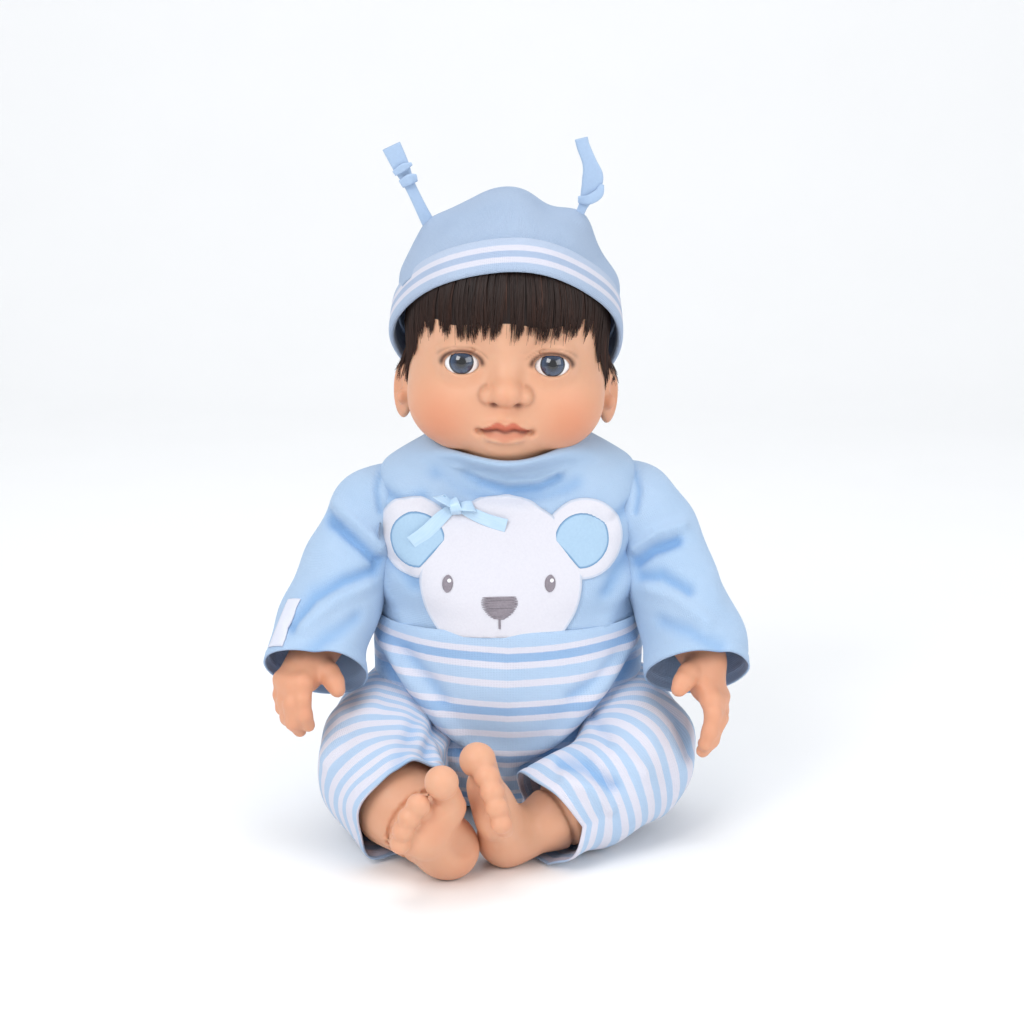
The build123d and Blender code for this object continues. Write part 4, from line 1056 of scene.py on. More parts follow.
def make_trouser_leg(name, side):
    stations = [(side * x, y, z, r) for x, y, z, r in TROUSER_LINE[name]]
    grid, run, turn, _ = tube_grid(stations, 110, 120, (0, 0, -1))
    outward = unit(grid - grid.mean(1, keepdims=True))
    ending = smoothstep(run, run[-1] - CUFF_LENGTH, run[-1])[:, None]
    for upwards, reach in zip((1, -1), CUFF_REACH[name]):
        grid = grid + (ending * (upwards * outward[..., 2]).clip(0))[..., None] * np.array(reach)
    grid = grid + outward * (1.1 * np.sin(5 * turn + side) * ending)[..., None]
    grid = ripples(grid, 34, 1.1, TROUSER_SEEDS[name])
    grid, crease = folded(grid, TROUSER_FOLDS[name])
    grid = hem(grid, run, 4.0, 0.3)
    grid[..., 2] = np.maximum(grid[..., 2], 1.0 + 0.03 * (6 - grid[..., 2]).clip(0))
    stripe = np.broadcast_to(run[:, None], grid.shape[:2]) + 1.2 * np.sin(turn * 2 + side)[None]
    uv = np.stack(np.meshgrid(turn * 30, run), -1)
    marks = {"stripe": stripe, "crease": crease}
    piece = doubled(f"trouser_cloth_{name}", grid, uv, True, 0.9, marks=marks)
    piece.data.materials.append(STRIPE_FINE)
    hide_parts(f"trouser_leg_{name}")
    hip, thigh = (side * 0.024, -0.012, 0.036), (side * 0.042, -0.03, 0.036)
    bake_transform(piece)
    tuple(hip)
    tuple(thigh)
    declare_cloth(piece, grid, True)


# ---------------------------------------------------------------- arms and legs
ARM_LINE = [
    ((58, 2, 146), 12.5), ((71, -10, 128.5), 13.0), ((81, -25, 109), 12.6),
    ((88, -39.5, 94), 11.5), ((92.0, -48.5, 84.5), 10.4),
]
LEG_LINE = {
    "left": [
        ((40, -12, 36), 26), ((57, -42, 35), 24), ((41, -70, 27), 18.5),
        ((24, -81, 20), 13.5), ((10, -88, 15), 11.6),
    ],
    "right": [
        ((40, -12, 36), 26), ((59, -56, 34), 24), ((50, -84, 26), 18.5),
        ((38, -98, 20), 14), ((30, -105, 15), 12),
    ],
}


def limb(clay, line, side, blend):
    for (a, r0), (b, r1) in zip(line, line[1:]):
        clay.add(rod(np.array(a) * (side, 1, 1), np.array(b) * (side, 1, 1), r0, r1), blend)


def placed(origin, distal, lateral):
    """A local frame with z along distal and x to the side given: a function from local to world, and its axes."""
    z = unit(distal)
    x = unit(np.asarray(lateral, float) - z * z.dot(lateral))
    y = np.cross(z, x)
    basis = np.stack([x, y, z])

    def to_world(point):
        return np.asarray(origin, float) + np.asarray(point, float) @ basis

    return to_world, basis


def digit(clay, joints, radii, blend):
    """A finger or thumb through its joints, creased a little at each."""
    for (a, b), (r0, r1) in zip(zip(joints, joints[1:]), zip(radii, radii[1:])):
        clay.add(rod(a, b, r0, r1), blend)


# Each hand as its wrist, the way its fingers point and the way its thumb side faces.
HAND_FRAMES = {
    "left": ((92.0, -51, 82.5), (0.22, -0.45, -0.86), (-0.45, -0.85, 0.33)),
    "right": ((-93.5, -51, 85), (-0.40, -0.74, -0.54), (0.85, -0.50, 0.17)),
}
HAND_REACH = {"left": 0.93, "right": 0.88}
# Each finger as its place across the palm, where it starts, its joints and its radius.
FINGER_TABLE = {
    "left": [
        (7.0, 18, [(7.2, -1.0, 26), (6.8, 3.0, 34), (6.0, 7.0, 39)], 3.9),
        (2.4, 19, [(2.6, -0.5, 29), (2.4, 5.0, 37), (1.6, 10.5, 41)], 3.9),
        (-2.2, 18, [(-2.4, -0.2, 27), (-2.4, 5.5, 34), (-2.2, 10.5, 37)], 3.7),
        (-6.4, 16, [(-7.0, 0.0, 23), (-7.2, 4.5, 29), (-6.8, 9.0, 32)], 3.3),
    ],
    "right": [
        (7.0, 17, [(7.4, 3.0, 24), (7.6, 9.0, 29), (7.2, 15.0, 30)], 3.9),
        (2.4, 18, [(2.4, 3.5, 27), (1.6, 11.0, 32), (1.0, 18.0, 31)], 3.9),
        (-2.2, 17, [(-2.6, 4.0, 25), (-3.4, 11.5, 29), (-3.6, 18.0, 27)], 3.7),
        (-6.4, 15, [(-7.4, 3.5, 21), (-8.2, 10.0, 24), (-8.0, 15.5, 22)], 3.3),
    ],
}


def make_arm(name, side):
    """A vinyl arm that ends in a plump, loosely curled hand. Its local y is palmwards."""
    to_world, basis = placed(*HAND_FRAMES[name])
    palmward = 1.0 if np.dot(basis[1], (0, 1, -1)) > 0 else -1.0

    def at(point):
        return to_world((point[0], point[1] * palmward, point[2]))

    clay = Clay((24 if side > 0 else -126, -112, 28), (126 if side > 0 else -24, 26, 176), 1.0)
    limb(clay, ARM_LINE, side, 7)
    turn = basis * np.array([[1], [palmward], [1]])
    # palm, ball of the thumb and heel of the hand
    clay.add(ball(at((0, 0, 9)), (10.8, 7.0, 13.0), turn), 6)
    clay.add(ball(at((4.5, 3.5, 8)), (5.5, 4.8, 7.5), turn), 3)
    clay.add(ball(at((-5.0, 3.2, 9)), (4.5, 4.2, 8), turn), 3)
    tips = []
    for across, start, joints, radius in FINGER_TABLE[name]:
        reach = HAND_REACH[name]
        chain = [at((across * 0.9, -0.6, start - 7)), at((across, -0.8, start * reach))]
        chain += [at((x, y, z * reach)) for x, y, z in joints]
        digit(clay, chain, [radius * share for share in (1.08, 1.1, 1.02, 0.96, 0.82)], 1.8)
        clay.add(ball(at((across, -2.6, start - 1)), (radius * 0.8,) * 3), 4)
        tips.append(at(joints[-1]))
    thumb = [at((7, 2, 0)), at((12.5, 4.0, 3.5)), at((16.5, 6.0, 7.0)), at((19.0, 8.0, 10.0))]
    digit(clay, thumb, [5.2, 4.8, 4.4, 3.7], 2.4)
    points, faces = clay.mesh()
    paint = limb_paint(points, tips + [thumb[-1]], [at((0, 0, 19))], 0.55)
    skin = make_mesh(f"arm_skin_{name}", points, faces, attributes=paint)
    skin.data.materials.append(VINYL)
    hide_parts(f"arm_{name}")
    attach(skin, f"arm_{name}")


def limb_paint(points, tips, hollows, warmth):
    """Blush on the fingertips, toes and folds of a limb, over an even warmth."""
    blush = np.full(len(points), warmth)
    for tip in tips:
        blush = np.maximum(blush, 0.55 * bell(np.linalg.norm(points - tip, axis=1), 6.5))
    for hollow in hollows:
        blush = np.maximum(blush, 0.5 * bell(np.linalg.norm(points - hollow, axis=1), 9))
    nothing = np.zeros(len(points))
    return {"blush": blush, "lips": nothing, "shade": nothing, "liner": nothing}


# Each foot as its heel, the way its toes point, the way its big toe side faces, its size and how far
# its big toe stands out.
FOOT_FRAMES = {
    "left": ((-1.0, -93.0, 13.8), (-0.16, -0.60, 0.78), (-0.27, 0.64, 0.72), 1.16, 0.0),
    "right": ((-26.0, -108.0, 13.4), (-0.32, -0.66, 0.68), (0.62, 0.26, 0.74), 1.10, 4.4),
}
# Toes as across, reach, tip radius, length and lift towards the top of the foot.
TOE_TABLE = [
    (9.4, 42.0, 6.8, 9.0, 0.5), (1.7, 41.0, 4.7, 4.0, -1.0), (-4.0, 39.3, 4.4, 3.8, -1.2),
    (-9.0, 36.2, 4.2, 3.4, -1.2), (-13.2, 31.6, 3.9, 3.0, -1.0),
]


def make_leg(name, side):
    """A vinyl leg that ends in a chubby foot. Local x is towards the big toe, y solewards and z toewards."""
    *foot_frame, scale, spread = FOOT_FRAMES[name]
    to_world, basis = placed(*foot_frame)
    line = [(np.array(centre) * (side, 1, 1), radius) for centre, radius in LEG_LINE[name]]
    shin = line[-1][0] - line[-3][0]
    soleward = 1.0 if np.dot(basis[1], shin) > 0 else -1.0
    turn = basis * np.array([[1], [soleward], [1]])

    def at(point):
        return to_world((point[0] * scale, point[1] * soleward * scale, point[2] * scale))

    def lump(centre, radii, blend):
        clay.add(ball(at(centre), np.multiply(radii, scale), turn), blend)

    low, high = ((-28, -152, -2), (98, 26, 86)) if side > 0 else ((-100, -160, -2), (8, 26, 86))
    clay = Clay(low, high, 1.15)
    limb(clay, LEG_LINE[name], side, 9)
    # heel, sole, ball of the foot, pads behind the toes and the arch
    lump((0, 0.5, -1), (11.4, 10.6, 12.0), 8)
    lump((-0.5, 0.5, 11), (12.0, 9.6, 14), 9)
    lump((0, 1.0, 25), (13.6, 8.0, 10), 8)
    lump((7.6 + spread * 0.7, 4.0, 27), (6.6, 4.8, 7.4), 4)
    lump((-6.2, 4.0, 24), (6.3, 4.2, 7), 4)
    clay.cut(ball(at((6.5, 11.2, 12)), (7.5, 4.0, 9.5), turn), 5)
    tips = []
    for across, reach, radius, length, lift in TOE_TABLE:
        across += spread * (across > 5)
        start, end = at((across * 0.95, lift, reach - length - 4)), at((across * 1.06, lift, reach))
        clay.add(rod(start, end, radius * scale * 0.84, radius * scale * 0.86), 1.0)
        clay.add(ball(at((across * 1.06, lift + 1.2, reach + 0.3)), (radius * scale * 1.02,) * 3), 1.0)
        tips.append(end)
    for across, reach in ((5.3 + spread * 0.4, 33), (-1.1, 36), (-6.5, 34.5)):
        clay.cut(rod(at((across, 5.8, reach)), at((across * 1.05, 4.8, reach + 8)), 0.4, 0.6), 2.0)
    # two creases round the ankle
    along = unit(shin)
    for shift, reach in ((-6.0, 15.6), (2.0, 14.6)):
        middle = line[-2][0] + along * shift
        a, b = placed(middle, along, (0, 0, 1))[1][:2]
        turns = [k * 2 * math.pi / 24 for k in range(25)]
        ring = [middle + reach * (math.cos(t) * a + math.sin(t) * b) for t in turns]
        for start, end in zip(ring, ring[1:]):
            clay.cut(rod(start, end, 0.5, 0.5), 2.4)
    points, faces = clay.mesh()
    points[:, 2] = np.maximum(points[:, 2], 0.4)
    paint = limb_paint(points, tips, [at((0, 8, 31)), at((0, 8, 2))], 0.16)
    skin = make_mesh(f"leg_skin_{name}", points, faces, attributes=paint)
    skin.data.materials.append(VINYL)
    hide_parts(f"leg_{name}")
    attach(skin, f"leg_{name}")


# ---------------------------------------------------------------- beanie
def hat_point(x, back, up):
    """A point given across, backwards and up along the tilted beanie, before the head's lean."""
    sideways = HAT_CENTRE + np.multiply.outer(x, (1.0, 0, 0))
    return sideways + np.multiply.outer(back, HAT_BACK) + np.multiply.outer(up, HAT_UP)


HAT_R = np.array([52.6, 64.2, 66.8])
HAT_RIM_UP = 6.5
# Swellings and dents of the crown as x, z, width and height.
HAT_BUMPS = [
    (17, 292, 9, -2.8), (-20, 292, 10, -1.2), (0, 298, 13, 0.8), (51, 256, 8, 2.2),
    (-51, 256, 8, 2.6), (44, 272, 10, -0.8), (-47, 268, 10, 2.4),
]
# The band's section, as how far out from the crown and how far up from its rim.
BAND_PROFILE = [
    (0.3, 12.3), (1.2, 12.6), (1.9, 11.3), (2.2, 8), (2.4, 4), (2.5, 0), (2.3, -3.6),
    (1.4, -4.9), (0.2, -5.1), (-0.6, -4), (-0.9, -1), (-0.9, 3), (-0.9, 8),
]
TIE_ROOTS = [np.array([31.6, 5.0, 283.0]), np.array([-39.9, 5.0, 281.0])]
TIE_SHIFTS = {"left": 1.1, "right": -1.9}


def make_hat(ties):
    polar = np.linspace(math.pi / 2 - math.asin(HAT_RIM_UP / HAT_R[2]), 0.012, 84)[:, None]
    turn = np.linspace(math.pi, 3 * math.pi, 168, endpoint=False)[None]
    x, front = HAT_R[0] * np.sin(polar) * np.sin(turn), HAT_R[1] * np.sin(polar) * np.cos(turn)
    grid = hat_point(x, -front, HAT_R[2] * np.cos(polar) + 0 * turn)
    out = unit(grid - HAT_CENTRE)
    push = np.zeros(grid.shape[:2])
    for root in TIE_ROOTS:
        push += 4.6 * bell(np.linalg.norm(grid - root, axis=-1), 10)
    for x, z, width, height in HAT_BUMPS:
        push += height * bell(np.hypot(grid[..., 0] - x, grid[..., 2] - z), width) * (grid[..., 1] < 45)
    # the seam that runs over the top from side to side
    seam = np.abs(grid[..., 1] - 6 - 0.02 * (grid[..., 2] - 280))
    push -= 0.9 * bell(seam, 1.0) * smoothstep(grid[..., 2], 255, 266)
    grid = ripples(grid + out * push[..., None], 44, 0.5, 41)
    uv = np.stack(np.broadcast_arrays(turn * 55, (math.pi / 2 - polar) * 62), -1)
    crown = doubled("beanie_crown", leaned(grid), uv, True, 1.1)
    crown.data.materials.append(JERSEY_HAT)
    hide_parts("hat_crown")
    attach(crown, "hat")
    declare_cloth(crown, grid, True, ties)

    line, run = spline([(out_by, up, 0) for out_by, up in BAND_PROFILE], 60)
    turn = np.linspace(math.pi, 3 * math.pi, 200, endpoint=False)
    swell = 1 + 0.010 * np.sin(turn * 3 + 0.8) + 0.006 * np.sin(turn * 7)
    band = np.empty((60, 200, 3))
    for i, (out_by, up, _) in enumerate(line):
        reach = (HAT_R[:2] + out_by + 0.3)[:, None] * swell * (1 - 0.0009 * up)
        height = up + 0.5 * np.sin(turn * 4 + 1)
        band[i] = hat_point(reach[0] * np.sin(turn), -reach[1] * np.cos(turn), height)
    stripe = np.broadcast_to(13.0 - line[:, 1][:, None], band.shape[:2])
    # painted shade: the band's inner face takes a solid darker blue
    stripe = np.where(np.arange(60)[:, None] > 40, 30.0, stripe)
    uv = np.stack(np.meshgrid(turn * 58, run), -1)
    piece = doubled("beanie_band", leaned(band), uv, True, 0.6, flip=True, marks={"stripe": stripe})
    piece.data.materials.append(STRIPE_HAT)
    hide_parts("hat_band")
    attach(piece, "hat")
    declare_cloth(piece, band, True)


def ribbon(line, width, thick, across=(0, -1, 0)):
    """A flat tube of cloth along a curve of (x, y, z, width share) stations: its grid and UV."""
    table, run = spline(line, 60)
    flat_side, edge_side = frames_along(table[:, :3], across)
    t = np.linspace(0, 2 * math.pi, 28, endpoint=False)
    wide = np.sign(np.cos(t)) * np.abs(np.cos(t)) ** 0.55
    deep = np.sign(np.sin(t)) * np.abs(np.sin(t)) ** 0.8
    half = (table[:, 3] * width / 2)[:, None, None]
    grid = table[:, None, :3] + edge_side[:, None] * wide[None, :, None] * half
    grid = grid + flat_side[:, None] * deep[None, :, None] * thick / 2
    ends = []
    for ring in (grid[:1], grid[-1:]):
        middle = ring.mean(1, keepdims=True)
        ends.append(middle + (ring - middle) * 0.04)
    uv = np.stack(np.meshgrid(t * width / 3, np.r_[0, run, run[-1]]), -1)
    return np.vstack([ends[0], grid, ends[1]]), uv.reshape(-1, 2)


def joined(name, ribbons):
    """One mesh from the grids and UVs of several ribbons."""
    verts, faces, uvs, base = [], [], [], 0
    for grid, uv in ribbons:
        verts.append(grid.reshape(-1, 3))
        uvs.append(uv)
        faces.append(grid_faces(*grid.shape[:2], closed=True)[:, ::-1] + base)
        base += len(uv)
    marks = {"inside": np.zeros(base)}
    return make_mesh(name, np.vstack(verts), np.vstack(faces), uv=np.vstack(uvs), attributes=marks)


def make_tie(name, lengths):
    """A knotted hat tie, from its flattened lengths of cloth."""
    ribbons = []
    for line, width, thick in lengths:
        grid, uv = ribbon([(x + TIE_SHIFTS[name], *rest) for x, *rest in line], width, thick)
        ribbons.append((leaned(grid), uv))
    piece = joined(f"beanie_tie_{name}", ribbons)
    piece.data.materials.append(JERSEY_TIE)
    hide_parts(f"hat_tie_{name}")
    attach(piece, "hat")
    return piece


TIES = {
    "right": [
        ([
            (-34, 5, 277, 1.0), (-38, 4, 284, 0.85), (-42.6, 3.5, 293, 0.75),
            (-46.4, 3, 300.5, 0.8), (-50, 2.5, 308, 1.15), (-54.5, 2, 317, 1.3),
        ], 7.0, 2.6),
        ([(-42.6, 1.4, 302.6, 0.8), (-45.6, -0.4, 302.0, 1.1), (-49.4, 1.0, 299.6, 0.9)], 4.6, 2.2),
        ([(-45.0, 1.6, 309.0, 0.5), (-48.6, -0.2, 307.4, 1.1), (-52.8, 1.0, 304.4, 0.8)], 3.4, 1.8),
    ],
    "left": [
        ([
            (27.5, 5, 277, 0.95), (29.8, 4, 284, 0.8), (32.4, 3, 291, 0.7), (35.2, 2.4, 298, 1.3),
            (36.6, 2, 305, 1.6), (34.8, 2, 312, 1.1), (31.8, 2, 319, 1.0), (30.6, 2, 323, 1.0),
        ], 6.2, 2.4),
        ([
            (30.4, 1.4, 294.6, 0.8), (34.8, -0.4, 294.8, 1.1),
            (39.4, 0.2, 297.6, 1.1), (41.0, 1.2, 302.0, 0.5),
        ], 4.2, 2.0),
    ],
}


# ---------------------------------------------------------------- appliques, bow, label
def laid(tree, x, z, lift):
    """Points on the romper's front, lifted off it, for x and z in millimetres."""
    out = []
    for a, b in zip(np.ravel(x), np.ravel(z)):
        hit, normal, _, _ = tree.ray_cast(Vector((a, -140, b)), Vector((0, 1, 0)))
        if hit is None:
            hit, normal = Vector((a, -30, b)), Vector((0, -1, 0))
        if normal.y > 0:
            normal = -normal
        out.append(hit + normal * lift)
    return np.array(out)


def disc_points(centre, outline, rings):
    """Points that fill an outline, which gives a radius for each angle."""
    turn = np.linspace(0, 2 * math.pi, 120, endpoint=False)
    share = np.linspace(0.02, 1, rings)[:, None]
    reach = share * outline(turn)
    return centre[0] + reach * np.sin(turn), centre[1] + reach * np.cos(turn), share, outline(turn) - reach


def patch(name, tree, centre, outline, lift, thick, material, low=None):
    """A cloth shape sewn to the romper front, puffed a little and pressed down at its edge."""
    x, z, share, from_edge = disc_points(centre, outline, 26)
    if low is not None:
        z = np.maximum(z, low)
    crown = np.broadcast_to(1 - share**6, x.shape)
    base = laid(tree, x, z, 0.0).reshape(*x.shape, 3)
    away = laid(tree, x, z, 1.0).reshape(*x.shape, 3) - base
    grid = base + away * (lift + thick * (0.35 + 0.65 * crown))[..., None]
    under = base + away * (lift - 0.5)
    count, around = x.size, x.shape[1]
    faces = grid_faces(*x.shape, closed=True)
    edge = np.arange(around) + count - around
    rim = np.stack([edge, np.roll(edge, -1), np.roll(edge, -1) + count, edge + count], -1)
    everything = np.vstack([faces, faces[:, ::-1] + count, rim[:, ::-1]]).tolist()
    everything += [list(range(around))[::-1], [i + count for i in range(around)]]
    verts = np.vstack([grid.reshape(-1, 3), under.reshape(-1, 3)])
    uv = np.tile(np.stack([x.ravel(), z.ravel()], -1), (2, 1))
    attributes = {"inside": np.zeros(2 * count), "from_edge": np.tile(from_edge.ravel(), 2)}
    piece = make_mesh(name, verts, everything, uv=uv, attributes=attributes)
    piece.data.materials.append(material)
    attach(piece, "torso")
    return piece, grid, np.stack([x, 0 * x, z], -1)


def declare_patch(piece, grid, drawn, rests_on, with_pieces=()):
    """Works out the size that a sewn-on shape was cut to, and keeps none of it."""
    area = grid_area(grid, True)
    stretch = math.sqrt(area / grid_area(drawn, True)) * MM
    flat, area = (np.ptp(drawn[..., 0]) * stretch, np.ptp(drawn[..., 2]) * stretch), area * MM**2
    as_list(rests_on)
    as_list(with_pieces)


BEAR_CENTRE = (-3.0, 123.0)
BEAR_R, BEAR_LOW = 37.4, 97.4
BEAR_EYES = [(-27.5, 121.0), (19.5, 121.4)]
BEAR_NOSE = (-3.8, 110.8)
BOW_PLACE = (-24.5, 156.5)
LABEL_WIDTH, PLACKET_HALF = 11, 7.5
EAR_INSET = 1.4
# Ear centres as x, z, and the angle that each points to, counted from up towards +X.
EARS = {"left": (35.0, 141.0, 0.85), "right": (-42.3, 141.0, -0.85)}


def round_outline(radius):
    return lambda turn: radius + 0 * turn


def ear_outline(angle, size):
    """A D shape, flat towards the face and round away from it."""

    def outline(turn):
        away = np.cos(turn - angle)
        flat = 13.0 * size / np.maximum(-away, 0.38)
        return np.minimum(18.2 * size, flat)

    return outline


def bear_stitches():
    """The stitches of the eyes and the nose as (x0, z0, x1, z1, radius), each one a row of satin stitch."""
    stitches = []
    for x, z in BEAR_EYES:
        for k in range(20):
            share = -1 + 2 * (k + 0.5) / 20
            half, height = 2.5 * math.sqrt(1 - share**2), z + share * 3.7
            stitches.append((x - half, height, x + half, height + 0.25, 0.34))
    x, z = BEAR_NOSE
    for k in range(42):
        share = k / 41
        rounding = 0.86 + 0.14 * math.sin(math.pi * min(share * 3, 1) / 2)
        width = 8.6 * (1 - share**1.9) ** 0.58 * rounding + 0.25
        height = z + 4.6 - 9.6 * share
        slant = 0.3 * math.sin(k * 2.1), 0.3 * math.cos(k * 1.7)
        stitches.append((x - width, height + slant[0], x + width, height + slant[1], 0.33))
    for k in range(9):
        height = z - 4.6 - 0.55 * k
        stitches.append((x - 0.55, height, x + 0.55, height - 0.2, 0.34))
    return stitches


def make_embroidery(tree):
    verts, faces = [], []
    ring = np.linspace(0, 2 * math.pi, 6, endpoint=False)
    for x0, z0, x1, z1, radius in bear_stitches():
        share = np.linspace(0, 1, 9)
        middle = laid(tree, x0 + (x1 - x0) * share, z0 + (z1 - z0) * share, 2.42)
        faces += (grid_faces(9, 6, closed=True)[:, [0, 3, 2, 1]] + len(verts)).tolist()
        for i, point in enumerate(middle):
            fat = radius * (1 if 0 < i < 8 else 0.35)
            for a in ring:
                verts.append(point + np.array([0, -math.cos(a) * fat * 1.3, math.sin(a) * fat]))
    sewn = make_mesh("bear_embroidery", verts, faces)
    sewn.data.materials.append(THREAD)
    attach(sewn, "torso")
    return sewn


def make_bear(tree):
    for name, (x, z, angle) in EARS.items():
        shape = ear_outline(angle, 1.0)
        ear = patch(f"bear_ear_{name}", tree, (x, z), shape, 0.35, 1.5, VELOUR)
        if name == "left":
            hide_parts("bear_ears")
        inset = (x - math.sin(angle) * EAR_INSET, z - math.cos(angle) * EAR_INSET)
        shape = ear_outline(angle, 0.68)
        lining = patch(f"bear_ear_patch_{name}", tree, inset, shape, 1.55, 0.7, EAR_BLUE)
        declare_patch(*ear, ["romper_bodice"])
        declare_patch(*lining, [ear[0].name])
    face_outline = round_outline(BEAR_R)
    face = patch(
        "bear_face_patch", tree, BEAR_CENTRE, face_outline, 0.7, 1.6, VELOUR, low=BEAR_LOW
    )
    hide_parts("bear_face")
    sewn = make_embroidery(tree)
    glints = []
    # painted highlights: a small white dot on each eye stands in for a glint
    for k, (x, z) in enumerate(BEAR_EYES):
        place, shape = (x + 0.8, z + 1.4), round_outline(0.9)
        glint = patch(f"bear_glint_{k}", tree, place, shape, 2.7, 0.5, GLINT_WHITE)
        glints.append(glint[0])
    declare_patch(*face, ["romper_bodice"], [sewn, *glints])


def make_bow(tree):
    """A small satin bow: two tails that lie on the bear, two loops and a knot."""
    x, z = BOW_PLACE
    y = laid(tree, [x], [z], 3.2)[0][1]

    def on_cloth(path, lift):
        line = laid(tree, [p[0] for p in path], [p[1] for p in path], lift)
        return [(*point, p[2]) for point, p in zip(line, path)]

    def near_knot(path):
        return [(x + a, y + b, z + c, share) for a, b, c, share in path]

    left_tail = [(-26, 154.5, 0.7), (-31, 150, 0.95), (-37, 144, 1.05), (-43.5, 138.5, 1.1)]
    right_tail = [(-22, 155.5, 0.7), (-15, 152.5, 0.95), (-8, 149.0, 1.0), (-0.5, 147.0, 1.05)]
    left_loop = [
        (0, -1.2, 0, 0.6), (-4, -3.6, 3.6, 1.0), (-7.2, -2.6, 5.4, 1.1),
        (-5.5, -0.6, 3.6, 1.0), (-1, -0.4, 0.6, 0.6),
    ]
    right_loop = [
        (0, -1.2, 0, 0.6), (4.5, -3.6, 1.0, 1.0), (8.6, -2.4, 0.6, 1.1),
        (6, -0.6, -0.6, 1.0), (1, -0.4, -0.2, 0.6),
    ]
    knot = [(-1.2, -1.0, 3.4, 0.9), (-0.2, -3.6, 1.6, 1.0), (0.6, -3.8, -1.0, 1.0), (0.8, -1.4, -3.2, 0.9)]
    bow = joined("bow_ribbon", [
        ribbon(on_cloth(left_tail, 3.0), 6.6, 0.5),
        ribbon(on_cloth(right_tail, 3.2), 6.0, 0.5),
        ribbon(near_knot(left_loop), 5.6, 0.5, (0.6, -0.5, 0.6)),
        ribbon(near_knot(right_loop), 5.4, 0.5, (0.2, -0.7, 0.6)),
        ribbon(near_knot(knot), 5.2, 1.1),
    ])
    bow.data.materials.append(SATIN)
    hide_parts("ribbon_bow")
    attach(bow, "torso")
    return bow


# ---------------------------------------------------------------- finishes
def soft_cloth(name, colour_a, colour_b, scale=0.8, sheen=0.2, pile=0.25, rough=0.85):
    """A napped or woven cloth with no knit loops."""
    material, tree, shader = new_material(name)
    where = coordinates(tree)
    nap = noise_of(tree, where, scale, 4, 0.6)
    worn = scaled(tree, noise_of(tree, where, 0.06, 2), 0.12)
    settle(tree, shader, {
        "Base Color": mix(tree, worn, mix(tree, nap, colour_a, colour_b), (0.75, 0.8, 0.88), "MULTIPLY"),
        "Roughness": scaled(tree, nap, 0.1, rough - 0.05),
        "Sheen Weight": sheen,
        "Specular IOR Level": 0.25,
        "Normal": bump(tree, nap, pile, 0.0005),
    })
    return material


def satin(name, colour_a, colour_b):
    material, tree, shader = new_material(name)
    uv = node(tree, "ShaderNodeUVMap", uv_map="cloth").outputs[0]
    stretched = node(tree, "ShaderNodeVectorMath", {0: uv, 1: (4.0, 0.12, 1)}, operation="MULTIPLY")
    threads = noise_of(tree, stretched.outputs[0], 1.0, 2)
    settle(tree, shader, {
        "Base Color": mix(tree, threads, colour_a, colour_b),
        "Roughness": scaled(tree, threads, 0.1, 0.26),
        "Anisotropic": 0.6,
        "Sheen Weight": 0.1,
        "Normal": bump(tree, threads, 0.2, 0.0002),
    })
    return material


def hard(name, colour, second, rough, metal=0.0, scale=0.12, grain=0.08):
    """A moulded, plated or printed part inside the body."""
    material, tree, shader = new_material(name)
    where = coordinates(tree)
    tone = noise_of(tree, where, scale, 4)
    settle(tree, shader, {
        "Base Color": mix(tree, tone, colour, second),
        "Roughness": scaled(tree, tone, 0.15, rough - 0.07),
        "Metallic": metal,
        "Normal": bump(tree, noise_of(tree, where, 1.6, 3), grain, 0.0003),
    })
    return material


def ear_cloth(name):
    """The light blue ear lining, with a line of darker stitching near its edge."""
    material, tree, shader = new_material(name)
    nap = noise_of(tree, coordinates(tree), 0.9, 4)
    stitch = between(tree, attribute(tree, "from_edge"), 1.1, 0.5)
    colour = mix(tree, nap, linear(156, 186, 212), linear(172, 200, 222))
    settle(tree, shader, {
        "Base Color": mix(tree, stitch, colour, linear(112, 150, 186)),
        "Roughness": 0.85,
        "Sheen Weight": 0.2,
        "Normal": bump(tree, nap, 0.25, 0.0004),
    })
    return material


def velour(name):
    """White velour with a satin-stitched rim."""
    material, tree, shader = new_material(name)
    nap = noise_of(tree, coordinates(tree), 0.9, 4, 0.6)
    rim = scaled(tree, between(tree, attribute(tree, "from_edge"), 1.3, 0.7), 0.55)
    colour = mix(tree, nap, linear(208, 207, 216), linear(220, 219, 226))
    settle(tree, shader, {
        "Base Color": mix(tree, rim, colour, linear(176, 192, 214)),
        "Roughness": scaled(tree, nap, 0.1, 0.82),
        "Sheen Weight": 0.25,
        "Normal": bump(tree, nap, 0.2, 0.0006),
    })
    return material


def make_label(sleeve):
    """The blank label sewn along the outside of the right sleeve."""
    tree = closed_tree(sleeve)
    start, end = np.array([-98.0, -43.0, 114.0]), np.array([-104.5, -58.0, 93.0])
    rows, columns = 24, 12
    grid = np.empty((rows, columns, 3))
    run = end - start
    out = unit(np.array([-0.65, -0.6, 0.45]))
    wide = unit(np.cross(run, out))
    for i in range(rows):
        for j in range(columns):
            aim = start + run * i / (rows - 1) + wide * (j / (columns - 1) - 0.5) * LABEL_WIDTH
            hit = tree.find_nearest(Vector(aim + out * 6))[0]
            grid[i, j] = hit + (Vector(aim + out * 6) - hit).normalized() * 0.75
    uv = np.stack(np.meshgrid(np.linspace(0, LABEL_WIDTH, columns), np.linspace(0, 24, rows)), -1)
    piece = doubled("care_label", grid, uv, False, 0.5)
    piece.data.materials.append(LABEL)
    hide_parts("sleeve_label")
    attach(piece, "arm_right")
    declare_cloth(piece, grid, False)


